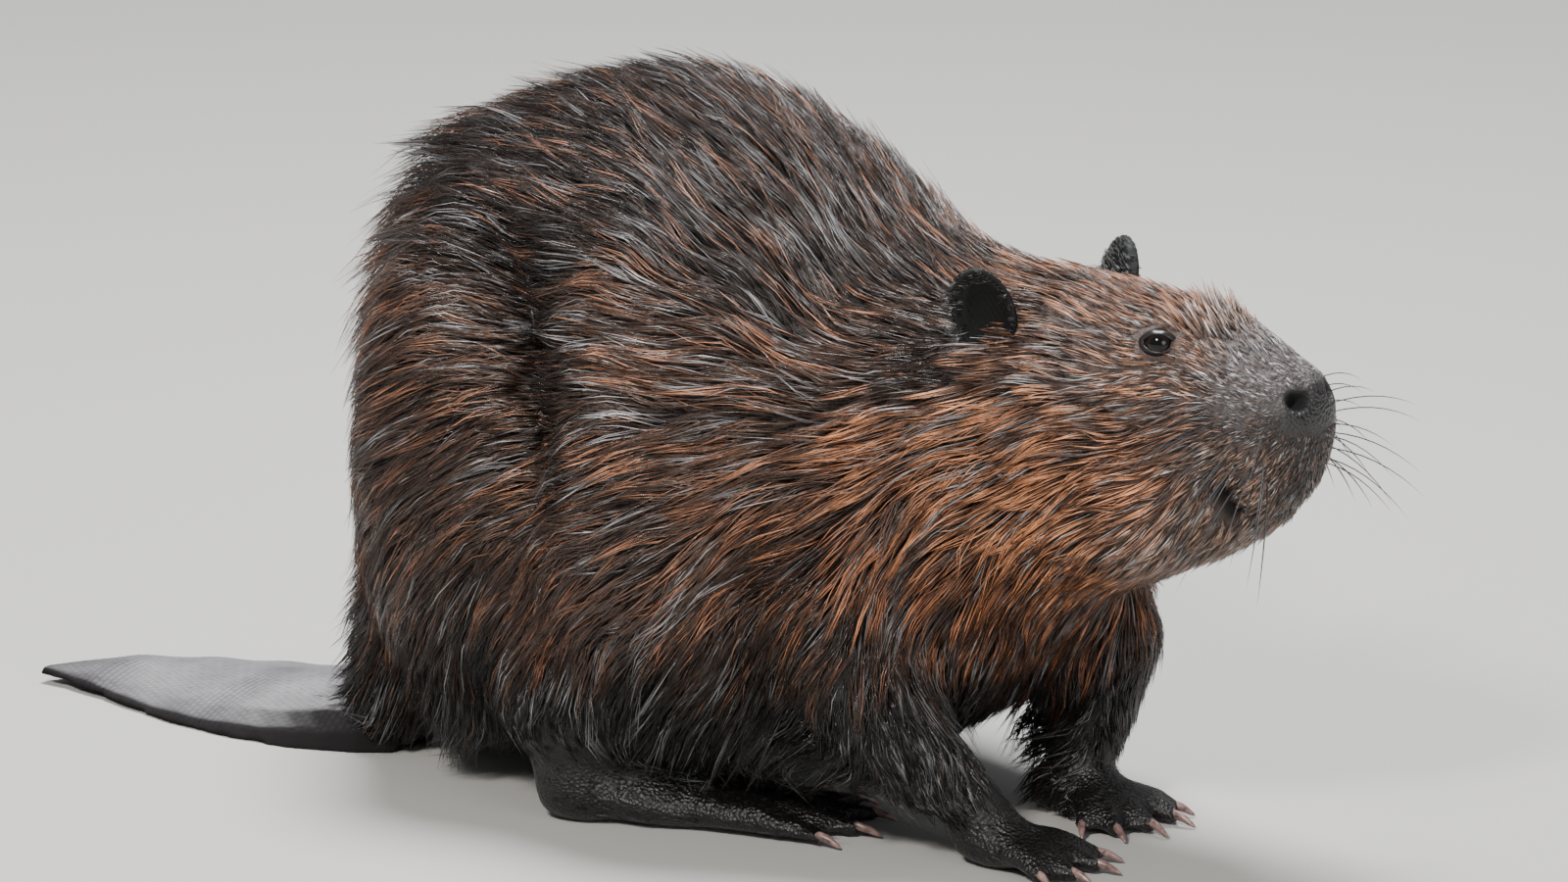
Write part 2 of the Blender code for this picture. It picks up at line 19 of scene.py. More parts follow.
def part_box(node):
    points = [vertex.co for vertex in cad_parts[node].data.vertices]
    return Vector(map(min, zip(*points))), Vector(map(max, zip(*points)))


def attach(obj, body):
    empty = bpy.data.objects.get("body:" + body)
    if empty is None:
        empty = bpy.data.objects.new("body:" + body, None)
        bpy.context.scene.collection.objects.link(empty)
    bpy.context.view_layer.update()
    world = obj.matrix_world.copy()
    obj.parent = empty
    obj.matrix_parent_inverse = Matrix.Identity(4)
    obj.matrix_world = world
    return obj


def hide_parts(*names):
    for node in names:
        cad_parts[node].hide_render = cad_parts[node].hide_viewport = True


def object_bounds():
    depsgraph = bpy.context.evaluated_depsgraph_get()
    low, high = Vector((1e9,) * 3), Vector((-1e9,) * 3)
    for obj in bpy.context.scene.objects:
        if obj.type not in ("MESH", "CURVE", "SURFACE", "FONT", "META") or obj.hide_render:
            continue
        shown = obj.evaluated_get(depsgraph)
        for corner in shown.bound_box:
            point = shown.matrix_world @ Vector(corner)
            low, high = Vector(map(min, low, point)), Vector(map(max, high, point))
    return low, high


MM = 0.001
SAME_PLACE = 1e-5  # points nearer than this are one
SIDES = {"left": 1.0, "right": -1.0}
RANDOM = np.random.default_rng(11)

# ---------------------------------------------------------------- the frame, the camera and the studio

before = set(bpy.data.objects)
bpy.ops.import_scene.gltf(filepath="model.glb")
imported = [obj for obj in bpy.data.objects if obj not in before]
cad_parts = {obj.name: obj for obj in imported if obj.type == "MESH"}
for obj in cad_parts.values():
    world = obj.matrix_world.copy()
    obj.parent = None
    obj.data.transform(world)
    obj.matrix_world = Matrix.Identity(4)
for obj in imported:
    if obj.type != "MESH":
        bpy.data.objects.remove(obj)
cad_low, cad_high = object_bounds()

VIEW_TURN = math.radians(34)  # from the animal's right side towards its face
VIEW_RISE = math.radians(14)
LENS = 300.0
VIEW_DISTANCE = 5.556
AIM = Vector((0.048, 0.0, 0.151))
FLOOR_HALF_SIZE = 9.0
LIGHTS = (  # name, place, size, power, colour
    ("overhead", (-0.3, 0.5, 2.4), 1.0, 150.0, (0.96, 0.98, 1.0)),
    ("key", (0.5, -2.4, 2.1), 0.55, 112.0, (1.0, 0.97, 0.93)),
    ("fill", (2.6, -1.0, 0.8), 1.4, 22.0, (0.95, 0.97, 1.0)),
)


def add_camera():
    data = bpy.data.cameras.new("camera")
    data.lens = LENS
    data.sensor_width = 36.0
    camera = bpy.data.objects.new("camera", data)
    bpy.context.scene.collection.objects.link(camera)
    back = Vector((
        math.sin(VIEW_TURN) * math.cos(VIEW_RISE),
        -math.cos(VIEW_TURN) * math.cos(VIEW_RISE),
        math.sin(VIEW_RISE),
    ))
    camera.location = AIM + back * VIEW_DISTANCE
    camera.rotation_euler = (-back).to_track_quat("-Z", "Y").to_euler()
    bpy.context.scene.camera = camera


def add_light(name, place, size, power, colour):
    data = bpy.data.lights.new(name, "AREA")
    data.shape = "DISK"
    data.size = size
    data.energy = power
    data.color = colour
    lamp = bpy.data.objects.new(name, data)
    bpy.context.scene.collection.objects.link(lamp)
    lamp.location = place
    lamp.rotation_euler = (Vector(place) - AIM).to_track_quat("Z", "Y").to_euler()


def add_studio():
    """A flat pale floor, a wide light overhead, a smaller key light and a weak fill."""
    bm = bmesh.new()
    bmesh.ops.create_grid(bm, x_segments=1, y_segments=1, size=FLOOR_HALF_SIZE)
    floor = object_of("studio_floor", bm)
    floor.data.materials.append(floor_paint())
    for light in LIGHTS:
        add_light(*light)
    world = bpy.data.worlds.new("studio")
    world.use_nodes = True
    background = world.node_tree.nodes["Background"]
    background.inputs["Color"].default_value = (0.90, 0.93, 0.97, 1.0)
    background.inputs["Strength"].default_value = 0.38
    bpy.context.scene.world = world


# ---------------------------------------------------------------- small helpers


def object_of(name, bm):
    mesh = bpy.data.meshes.new(name)
    bm.to_mesh(mesh)
    bm.free()
    made = bpy.data.objects.new(name, mesh)
    bpy.context.scene.collection.objects.link(made)
    return made


def settle_piece(obj, slot, material, *nodes):
    """Hands a finished piece to the frame: what it rides on, its finish and the solids it stands for."""
    obj.data.materials.clear()
    obj.data.materials.append(material)
    obj.data.shade_smooth()
    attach(obj, "root")
    if nodes:
        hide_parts(*nodes)


def points_of(mesh):
    found = np.empty(len(mesh.vertices) * 3, np.float32)
    mesh.vertices.foreach_get("co", found)
    return found.reshape(-1, 3)


def normals_of(mesh):
    found = np.empty(len(mesh.vertices) * 3, np.float32)
    mesh.vertex_normals.foreach_get("vector", found)
    return found.reshape(-1, 3)


def edges_of(mesh):
    found = np.empty(len(mesh.edges) * 2, np.int32)
    mesh.edges.foreach_get("vertices", found)
    return found.reshape(-1, 2)


def move_points(mesh, points):
    mesh.vertices.foreach_set("co", points.astype(np.float32).ravel())
    mesh.update()


def unit(vectors):
    return vectors / np.maximum(np.linalg.norm(vectors, axis=-1, keepdims=True), 1e-9)


def across_surface(vectors, normals):
    """The part of each vector that runs along the surface, at length one."""
    return unit(vectors - (vectors * normals).sum(1, keepdims=True) * normals)


def relax(points, edges, weight, rounds):
    """Moves each point halfway to the mean of its neighbours, or less by its own weight from 0 to 1."""
    count = np.maximum(np.bincount(edges.ravel(), minlength=len(points)), 1)[:, None]
    for _ in range(rounds):
        total = np.stack([
            np.bincount(edges[:, 0], points[edges[:, 1], axis], len(points))
            + np.bincount(edges[:, 1], points[edges[:, 0], axis], len(points))
            for axis in range(3)
        ], 1)
        points = points + (total / count - points) * 0.5 * weight[:, None]
    return points


def paint(mesh, name, values):
    """Stores a colour or a number on each point of a mesh."""
    if values.ndim == 1:
        layer = mesh.attributes.new(name, "FLOAT", "POINT")
        layer.data.foreach_set("value", values.astype(np.float32))
        return
    layer = mesh.attributes.new(name, "FLOAT_COLOR", "POINT")
    full = np.ones((len(values), 4), np.float32)
    full[:, :3] = values
    layer.data.foreach_set("color", full.ravel())


def swollen(bm, amount):
    """Joins a solid's loose triangles and moves every point out along its normal."""
    bmesh.ops.remove_doubles(bm, verts=bm.verts, dist=SAME_PLACE)
    bmesh.ops.recalc_face_normals(bm, faces=bm.faces)
    bm.normal_update()
    for vert in bm.verts:
        vert.co += vert.normal * amount


def remeshed_copy(name, nodes, voxel, swell=0.0):
    """The named solids, each swollen a little so that they meet, grown together into one even surface."""
    together = bmesh.new()
    for node in nodes:
        bm = bmesh.new()
        bm.from_mesh(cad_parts[node].data)
        swollen(bm, swell)
        part = bpy.data.meshes.new("part")
        bm.to_mesh(part)
        bm.free()
        together.from_mesh(part)
        bpy.data.meshes.remove(part)
    made = object_of(name, together)
    remesh = made.modifiers.new("even", "REMESH")
    remesh.mode = "VOXEL"
    remesh.voxel_size = voxel
    graph = bpy.context.evaluated_depsgraph_get()
    mesh = bpy.data.meshes.new_from_object(made.evaluated_get(graph))
    made.modifiers.clear()
    made.data = mesh
    keep_largest(mesh)
    return made


def add_smoothing(obj, levels):
    smooth = obj.modifiers.new("smooth", "SUBSURF")
    smooth.levels = levels
    smooth.render_levels = levels


def keep_largest(mesh):
    """Drops whatever isn't joined to the largest piece of a mesh, such as bubbles left inside it."""
    bm = bmesh.new()
    bm.from_mesh(mesh)
    left = set(bm.verts)
    pieces = []
    while left:
        piece, queue = set(), [next(iter(left))]
        while queue:
            vert = queue.pop()
            if vert not in piece:
                piece.add(vert)
                queue += [edge.other_vert(vert) for edge in vert.link_edges]
        pieces.append(piece)
        left -= piece
    pieces.sort(key=len)
    for piece in pieces[:-1]:
        bmesh.ops.delete(bm, geom=list(piece), context="VERTS")
    bm.to_mesh(mesh)
    bm.free()


# ---------------------------------------------------------------- the lie of the coat

# Hair colours. root: under the coat. tip: where most hair ends. rust: the brighter end of some guard hair.
# The last two fields are the shares of the guard hair that end in rust, and in a painted highlight, the pale
# grey that stands for the glint of wet hair.
Tone = namedtuple("Tone", "root tip rust rusty slaty")
TONES = {
    "velvet": Tone((0.030, 0.025, 0.024), (0.170, 0.146, 0.142), (0.220, 0.150, 0.120), 0.10, 0.24),
    "lips": Tone((0.008, 0.007, 0.007), (0.058, 0.044, 0.038), (0.200, 0.110, 0.070), 0.24, 0.16),
    "muzzle": Tone((0.016, 0.010, 0.008), (0.150, 0.098, 0.076), (0.520, 0.320, 0.220), 0.36, 0.16),
    "face": Tone((0.015, 0.009, 0.007), (0.150, 0.088, 0.066), (0.680, 0.330, 0.190), 0.38, 0.14),
    # chin: a paler brown, partly painted light that stands for light thrown up under the chin
    "chin": Tone((0.020, 0.013, 0.010), (0.210, 0.140, 0.110), (0.640, 0.400, 0.280), 0.36, 0.14),
    "ruff": Tone((0.012, 0.006, 0.004), (0.170, 0.070, 0.037), (0.900, 0.390, 0.185), 0.54, 0.10),
    "ruff dark": Tone((0.010, 0.006, 0.004), (0.078, 0.036, 0.021), (0.560, 0.215, 0.095), 0.32, 0.10),
    "brown": Tone((0.010, 0.006, 0.005), (0.130, 0.078, 0.057), (0.540, 0.235, 0.128), 0.24, 0.16),
    "back": Tone((0.007, 0.005, 0.004), (0.038, 0.026, 0.022), (0.360, 0.175, 0.110), 0.13, 0.18),
    "rump": Tone((0.009, 0.005, 0.004), (0.088, 0.048, 0.033), (0.360, 0.150, 0.078), 0.18, 0.12),
    "dark": Tone((0.006, 0.004, 0.003), (0.038, 0.021, 0.014), (0.260, 0.105, 0.056), 0.10, 0.14),
    "black": Tone((0.003, 0.0025, 0.002), (0.011, 0.008, 0.007), (0.070, 0.040, 0.030), 0.05, 0.24),
    "nose": Tone((0.010, 0.0095, 0.010), (0.012, 0.011, 0.012), (0.012, 0.011, 0.012), 0.0, 0.0),
    "ear": Tone((0.002, 0.002, 0.002), (0.005, 0.0045, 0.005), (0.050, 0.028, 0.018), 0.08, 0.03),
}
# Painted highlights: some hair ends get a pale grey colour that stands for the glints on wet hair.
SHEEN = 3.2  # how much brighter a painted highlight at a hair end is than the plain ends round it, over the least brightness
SHEEN_LEAST = 0.15
SHEEN_TINT = (1.00, 0.97, 0.98)

# One spot on either half of the animal, with y as the distance from its middle plane. coat: the piece that
# its hair belongs to. lie: the way the hair points, in the same frame. length and depth in millimetres: the
# hair's, and the coat's over the skin. loose: how far the tips stand off, from 0 to 1, or past 1 for tufts
# that stand up.
Guide = namedtuple("Guide", "coat place lie length depth loose tone")
GUIDES = [
    # nose and muzzle
    Guide("bare", (0.316, 0.000, 0.205), (-1, 0, 0), 2, 0.0, 0, "nose"),
    Guide("bare", (0.311, 0.012, 0.203), (-1, 0, 0), 2, 0.0, 0, "nose"),
    Guide("face", (0.300, 0.006, 0.219), (-1, 0.1, 0.3), 4, 0.6, 0.0, "velvet"),
    Guide("face", (0.307, 0.007, 0.2155), (-1, 0.2, 0.4), 3, 0.4, 0.0, "velvet"),
    Guide("face", (0.302, 0.0175, 0.2110), (-1, 0.3, 0.2), 4, 0.4, 0.0, "velvet"),
    Guide("face", (0.303, 0.0190, 0.1980), (-0.8, 0.4, -0.5), 4, 0.5, 0.0, "lips"),
    Guide("face", (0.312, 0.0080, 0.1880), (-0.2, 0.4, -0.9), 4, 0.5, 0.2, "lips"),
    Guide("face", (0.286, 0.010, 0.229), (-1, 0.1, 0.4), 5, 0.8, 0.0, "velvet"),
    Guide("face", (0.295, 0.024, 0.205), (-0.9, 0.3, 0.1), 5, 0.8, 0.05, "velvet"),
    Guide("face", (0.303, 0.024, 0.184), (-0.6, 0.4, -0.8), 7, 1.0, 0.2, "muzzle"),
    Guide("face", (0.303, 0.006, 0.172), (-0.5, 0.4, -0.8), 6, 0.8, 0.5, "lips"),
    Guide("face", (0.298, 0.020, 0.170), (-0.6, 0.3, -0.8), 8, 1.0, 0.4, "muzzle"),
    Guide("face", (0.290, 0.033, 0.182), (-0.8, 0.3, -0.5), 9, 1.4, 0.1, "muzzle"),
    Guide("face", (0.284, 0.030, 0.158), (-0.6, 0.2, -0.8), 10, 1.4, 0.3, "chin"),
    Guide("face", (0.274, 0.008, 0.146), (-0.8, 0.1, -0.6), 12, 2.0, 0.6, "chin"),
    Guide("face", (0.262, 0.030, 0.143), (-0.7, 0.2, -0.7), 15, 2.6, 0.3, "chin"),
    # forehead, eye and cheek
    Guide("face", (0.276, 0.010, 0.235), (-0.6, 0.2, 1.0), 9, 1.2, 1.8, "muzzle"),
    Guide("face", (0.266, 0.012, 0.239), (-0.6, 0.2, 1.0), 11, 1.6, 2.2, "face"),
    Guide("face", (0.250, 0.016, 0.243), (-1, 0.1, 0.3), 12, 2.2, 0.4, "face"),
    Guide("face", (0.266, 0.030, 0.222), (-0.8, 0.4, 0.3), 7, 1.0, 0.1, "face"),
    Guide("face", (0.250, 0.034, 0.234), (-1, 0.1, 0.2), 8, 1.2, 0.1, "face"),
    Guide("face", (0.256, 0.042, 0.214), (-1, 0.2, -0.25), 13, 1.6, 0.0, "face"),
    Guide("face", (0.240, 0.046, 0.222), (-1, 0.2, -0.1), 17, 2.4, 0.0, "face"),
    Guide("face", (0.270, 0.040, 0.195), (-1, 0.3, -0.35), 17, 2.2, 0.05, "face"),
    Guide("face", (0.258, 0.046, 0.175), (-0.95, 0.2, -0.42), 23, 3.2, 0.1, "ruff"),
    Guide("face", (0.222, 0.022, 0.246), (-1, 0.05, 0.0), 16, 3.2, 0.1, "face"),
    Guide("ruff", (0.232, 0.056, 0.190), (-0.95, 0.2, -0.28), 26, 4.5, 0.1, "ruff"),
    Guide("ruff", (0.230, 0.055, 0.160), (-0.85, 0.2, -0.5), 28, 5.0, 0.15, "ruff"),
    Guide("ruff", (0.232, 0.034, 0.130), (-0.55, 0.1, -0.85), 24, 4.5, 0.25, "ruff"),
    Guide("ruff", (0.236, 0.006, 0.126), (-0.6, 0.0, -0.8), 22, 4.0, 0.3, "ruff dark"),
    Guide("ruff", (0.215, 0.052, 0.225), (-1, 0.2, -0.05), 20, 3.6, 0.0, "face"),
    # round the ears
    Guide("nape", (0.198, 0.048, 0.238), (-0.9, 0.4, 0.25), 17, 2.6, 0.8, "face"),
    Guide("nape", (0.197, 0.053, 0.222), (-0.95, 0.4, 0.0), 17, 2.6, 0.6, "face"),
    Guide("nape", (0.172, 0.056, 0.240), (-1, 0.1, 0.0), 16, 2.6, 0.0, "black"),
    Guide("nape", (0.168, 0.062, 0.222), (-0.8, 0.1, -0.6), 20, 3.0, 0.0, "black"),
    # crown, nape and neck
    Guide("nape", (0.190, 0.020, 0.249), (-1, 0.05, 0.0), 22, 4.5, 0.15, "face"),
    Guide("nape", (0.150, 0.015, 0.252), (-1, 0, 0.3), 28, 7.0, 0.55, "back"),
    Guide("nape", (0.158, 0.060, 0.225), (-1, 0.2, -0.1), 26, 6.0, 0.1, "brown"),
    Guide("ruff", (0.195, 0.066, 0.200), (-0.95, 0.2, -0.35), 32, 6.0, 0.15, "ruff"),
    Guide("ruff", (0.190, 0.068, 0.165), (-0.85, 0.2, -0.5), 36, 7.5, 0.25, "ruff"),
    Guide("ruff", (0.162, 0.080, 0.182), (-0.90, 0.2, -0.42), 38, 8.0, 0.3, "ruff"),
    Guide("ruff", (0.165, 0.078, 0.145), (-0.70, 0.1, -0.7), 36, 8.0, 0.35, "ruff dark"),
    Guide("ruff", (0.192, 0.052, 0.125), (-0.6, 0.1, -0.8), 34, 7.0, 0.4, "ruff dark"),
    Guide("ruff", (0.195, 0.015, 0.095), (-0.5, 0.0, -0.85), 30, 6.0, 0.5, "ruff dark"),
    # chest and shoulder
    Guide("shoulder", (0.176, 0.010, 0.072), (-0.2, 0.0, -1), 30, 6.5, 0.45, "dark"),
    Guide("shoulder", (0.158, 0.010, 0.048), (-0.6, 0.0, -0.8), 26, 5.0, 0.3, "black"),
    Guide("shoulder", (0.138, 0.093, 0.172), (-0.88, 0.1, -0.42), 34, 8.5, 0.25, "brown"),
    Guide("shoulder", (0.112, 0.103, 0.180), (-0.92, 0.1, -0.30), 32, 8.5, 0.15, "brown"),
    Guide("shoulder", (0.080, 0.113, 0.160), (-0.9, 0.1, -0.3), 30, 8.5, 0.1, "brown"),
    Guide("shoulder", (0.128, 0.097, 0.135), (-0.72, 0.1, -0.68), 32, 8.0, 0.2, "ruff dark"),
    Guide("shoulder", (0.138, 0.095, 0.108), (-0.5, 0.1, -0.85), 30, 5.0, 0.4, "dark"),
    Guide("shoulder", (0.095, 0.110, 0.130), (-0.78, 0.1, -0.60), 30, 8.0, 0.1, "brown"),
    Guide("shoulder", (0.095, 0.110, 0.090), (-0.55, 0.1, -0.85), 30, 7.0, 0.3, "dark"),
    Guide("shoulder", (0.125, 0.104, 0.095), (-0.35, 0.1, -0.9), 28, 5.0, 0.35, "dark"),
    Guide("shoulder", (0.110, 0.100, 0.070), (-0.6, 0.1, -0.8), 32, 4.0, 0.9, "black"),
    Guide("shoulder", (0.085, 0.100, 0.050), (-0.5, 0.1, -0.85), 30, 5.5, 1.0, "black"),
    Guide("nape", (0.105, 0.020, 0.268), (-1, 0, 0.75), 30, 9.0, 0.68, "back"),
    Guide("nape", (0.105, 0.065, 0.240), (-0.85, 0.0, 0.5), 30, 8.5, 0.3, "back"),
    Guide("nape", (0.115, 0.090, 0.205), (-1, 0.1, 0.0), 30, 8.5, 0.1, "brown"),
    # back and flank
    Guide("back", (0.060, 0.015, 0.294), (-1, 0, 0.7), 30, 9.5, 0.68, "back"),
    Guide("back", (0.060, 0.070, 0.265), (-0.9, 0, 0.5), 30, 9.0, 0.3, "back"),
    Guide("back", (0.000, 0.015, 0.309), (-1, 0, 0.5), 30, 10.5, 0.64, "back"),
    Guide("back", (0.000, 0.080, 0.272), (-1, 0, 0.2), 30, 9.5, 0.2, "back"),
    Guide("back", (-0.060, 0.015, 0.297), (-1, 0, 0.25), 32, 10.5, 0.66, "back"),
    Guide("back", (-0.058, 0.075, 0.262), (-1, 0, -0.05), 32, 9.5, 0.4, "back"),
    Guide("flank", (0.050, 0.110, 0.210), (-1, 0.1, -0.05), 30, 9.0, 0.1, "brown"),
    Guide("flank", (0.000, 0.112, 0.215), (-1, 0.1, -0.05), 30, 9.5, 0.15, "brown"),
    Guide("flank", (-0.035, 0.108, 0.200), (-1, 0.1, -0.15), 32, 9.5, 0.3, "brown"),
    Guide("flank", (0.040, 0.120, 0.150), (-0.95, 0.1, -0.35), 30, 9.5, 0.1, "brown"),
    Guide("flank", (-0.010, 0.120, 0.150), (-0.9, 0.1, -0.45), 30, 9.5, 0.2, "brown"),
    Guide("flank", (0.045, 0.118, 0.105), (-0.7, 0.1, -0.75), 30, 9.0, 0.15, "rump"),
    Guide("flank", (0.000, 0.122, 0.095), (-0.6, 0.1, -0.85), 30, 8.5, 0.2, "rump"),
    Guide("flank", (0.045, 0.112, 0.070), (-0.45, 0.1, -0.9), 32, 7.0, 0.5, "black"),
    Guide("flank", (0.050, 0.085, 0.034), (-0.45, 0.0, -0.9), 32, 5.0, 1.0, "black"),
    Guide("belly", (0.070, 0.035, 0.024), (-0.5, 0.2, -0.85), 22, 3.0, 0.8, "black"),
    Guide("belly", (0.010, 0.030, 0.023), (-1, 0.1, -0.25), 18, 4.0, 0.1, "dark"),
    Guide("belly", (-0.060, 0.030, 0.022), (-1, 0.1, -0.25), 18, 4.0, 0.1, "dark"),
    # haunch, rump and root of the tail
    Guide("haunch", (-0.085, 0.095, 0.205), (-0.85, 0.1, -0.5), 32, 9.0, 0.35, "rump"),
    Guide("haunch", (-0.060, 0.112, 0.165), (-0.8, 0.1, -0.55), 30, 9.0, 0.2, "rump"),
    Guide("haunch", (-0.100, 0.098, 0.150), (-0.75, 0.1, -0.65), 30, 9.0, 0.25, "rump"),
    Guide("haunch", (-0.060, 0.120, 0.110), (-0.6, 0.1, -0.8), 28, 8.0, 0.2, "rump"),
    Guide("haunch", (-0.020, 0.122, 0.085), (-0.35, 0.0, -0.95), 28, 6.0, 0.3, "black"),
    Guide("haunch", (-0.075, 0.112, 0.065), (-0.4, 0.1, -0.9), 34, 7.0, 0.7, "dark"),
    Guide("haunch", (-0.100, 0.085, 0.080), (-0.5, 0.1, -0.85), 30, 8.0, 0.3, "rump"),
    Guide("haunch", (-0.060, 0.100, 0.036), (-0.3, 0.1, -0.95), 34, 5.0, 1.0, "black"),
    Guide("haunch", (0.010, 0.118, 0.060), (-0.1, 0.0, -1), 18, 4.0, 0.1, "black"),
    Guide("rump", (-0.110, 0.020, 0.278), (-0.95, 0.05, 0.1), 34, 9.5, 0.9, "back"),
    Guide("rump", (-0.112, 0.060, 0.245), (-0.95, 0.05, -0.2), 34, 9.5, 0.8, "rump"),
    Guide("rump", (-0.140, 0.020, 0.225), (-0.8, 0.05, -0.55), 34, 9.5, 0.9, "rump"),
    Guide("rump", (-0.150, 0.020, 0.160), (-0.6, 0.05, -0.8), 34, 9.5, 0.8, "rump"),
    Guide("rump", (-0.148, 0.030, 0.105), (-0.5, 0.1, -0.85), 32, 8.0, 0.8, "rump"),
    Guide("rump", (-0.145, 0.055, 0.060), (-0.5, 0.2, -0.85), 32, 6.0, 0.9, "dark"),
    Guide("rump", (-0.162, 0.010, 0.060), (-0.7, 0.1, -0.7), 24, 5.0, 0.6, "dark"),
    Guide("rump", (-0.158, 0.045, 0.026), (-0.6, 0.2, -0.8), 16, 2.5, 0.6, "black"),
    Guide("rump", (-0.163, 0.000, 0.030), (-0.8, 0.0, -0.5), 15, 2.5, 0.6, "black"),
    Guide("rump", (-0.138, 0.068, 0.030), (-0.4, 0.2, -0.9), 34, 5.0, 1.2, "black"),
    Guide("bare", (-0.235, 0.020, 0.010), (-1, 0, 0), 2, 1.0, 0, "black"),
    Guide("bare", (-0.235, -0.050, 0.010), (-1, 0, 0), 2, 1.0, 0, "black"),
    Guide("bare", (-0.300, 0.020, 0.008), (-1, 0, 0), 2, 1.0, 0, "black"),
    Guide("bare", (-0.205, 0.040, 0.002), (-1, 0, 0), 2, 1.0, 0, "black"),
    Guide("bare", (-0.205, 0.000, 0.000), (-1, 0, 0), 2, 1.0, 0, "black"),
    # legs and feet
    Guide("legs", (0.140, 0.090, 0.070), (0.1, 0.1, -1), 24, 3.0, 0.35, "black"),
    Guide("legs", (0.121, 0.082, 0.060), (-0.9, 0.1, -0.5), 32, 2.5, 1.5, "black"),
    Guide("legs", (0.138, 0.078, 0.042), (-0.7, 0.1, -0.7), 24, 2.0, 1.2, "black"),
    Guide("legs", (0.176, 0.066, 0.036), (0.4, 0.1, -0.9), 13, 1.2, 0.15, "black"),
    Guide("legs", (0.165, 0.080, 0.048), (0.4, 0.0, -0.9), 19, 1.7, 0.2, "black"),
    Guide("legs", (0.150, 0.045, 0.045), (0.3, -0.1, -1), 12, 1.8, 0.1, "black"),
    Guide("legs", (0.192, 0.045, 0.060), (0.05, 0, -1), 19, 2.4, 0.3, "black"),
    Guide("legs", (0.168, 0.0235, 0.047), (-0.9, 0, -0.45), 32, 1.5, 1.6, "black"),
    Guide("legs", (0.172, 0.0235, 0.031), (-0.8, 0, -0.6), 22, 1.5, 1.2, "black"),
    Guide("legs", (0.178, 0.022, 0.060), (-0.2, 0, -1), 20, 2.6, 0.5, "black"),
    Guide("feet", (0.184, 0.060, 0.024), (0.7, 0, -0.7), 9, 0.7, 0.1, "black"),
    Guide("feet", (0.200, 0.056, 0.018), (1, 0, -0.2), 5, 0.4, 0.0, "black"),
    Guide("feet", (0.200, 0.035, 0.016), (1, -0.2, -0.2), 5, 0.4, 0.0, "black"),
    Guide("feet", (0.228, 0.050, 0.010), (1, 0, -0.1), 4, 0.3, 0.0, "black"),
    Guide("feet", (0.222, 0.020, 0.010), (1, -0.2, -0.1), 4, 0.3, 0.0, "black"),
    Guide("feet", (0.012, 0.112, 0.036), (0.5, 0, -0.8), 8, 0.8, 0.05, "black"),
    Guide("feet", (-0.055, 0.112, 0.026), (0.1, 0, -1), 7, 0.7, 0.05, "black"),
    Guide("feet", (0.035, 0.085, 0.022), (0.9, -0.4, -0.1), 6, 0.5, 0.0, "black"),
    Guide("feet", (0.075, 0.060, 0.012), (0.9, -0.4, -0.05), 4, 0.3, 0.0, "black"),
    Guide("feet", (0.105, 0.040, 0.008), (0.9, -0.4, -0.05), 4, 0.3, 0.0, "black"),
    Guide("feet", (0.000, 0.085, 0.016), (0.95, 0.2, -0.1), 5, 0.4, 0.0, "black"),
    Guide("feet", (0.055, 0.075, 0.010), (0.95, 0.2, -0.1), 4, 0.3, 0.0, "black"),
]
GUIDE_REACH = 0.010  # a guide rules at least this far round it
AT_ONCE = 8000  # places that are read together, to spare memory
COAT_NAMES = sorted({guide.coat for guide in GUIDES})

# The deep crease where the flank meets the haunch, from the loin down, as x and z. It is on both sides.
CREASE = [(-0.072, 0.258), (-0.037, 0.236), (-0.021, 0.215), (-0.011, 0.184), (0.002, 0.153), (0.012, 0.110)]
CREASE_HALF_WIDTH = 0.015
CREASE_DEPTH = 0.017
# Painted shade in the crease: how much it takes off the colour of the skin and of the hair that passes
# through it.
CREASE_SHADE = 0.90
CREASE_CROSSED = 0.10  # the share of the locks that the painted shade leaves bright across it
CREASE_FADES = (0.10, 0.30)  # it comes in over its first tenth and goes out over its last three tenths
CREASE_FLANK = (0.050, 0.030)  # and is only on the flanks: from here out, over so much

# Folds and hollows on both halves of the face: the mouth and its corner, and wrinkles round the eye. dark is
# how much painted shade in them takes off the colour.
Fold = namedtuple("Fold", "path half_width depth dark")
MOUTH_CORNER = (0.2905, 0.0290, 0.1620)
FOLDS = [
    Fold([MOUTH_CORNER, (0.2950, 0.0230, 0.1560), (0.3000, 0.0150, 0.1535), (0.3020, 0.0000, 0.1545)],
         0.0028, 0.0034, 1.0),
    Fold([(0.2885, 0.0330, 0.1690), MOUTH_CORNER, (0.2915, 0.0240, 0.1560)], 0.0050, 0.0070, 1.3),
    Fold([(0.2665, 0.0300, 0.2275), (0.2760, 0.0255, 0.2235), (0.2830, 0.0240, 0.2170)], 0.0018, 0.0016, 0.5),
    Fold([(0.2645, 0.0335, 0.2200), (0.2730, 0.0300, 0.2150), (0.2800, 0.0290, 0.2080)], 0.0018, 0.0016, 0.5),
    Fold([(0.2445, 0.0345, 0.2330), (0.2540, 0.0315, 0.2345), (0.2630, 0.0290, 0.2300)], 0.0020, 0.0010, 0.4),
]
NOSTRIL_AT = (0.0020, 0.0108, 0.0018)  # from the middle of the nose, to either side
NOSTRIL_SIZE = (0.0056, 0.0050, 0.0042)
NOSTRIL_DEPTH = 0.0085
# painted shade inside the nostrils
NOSTRIL_DARK = 2.6


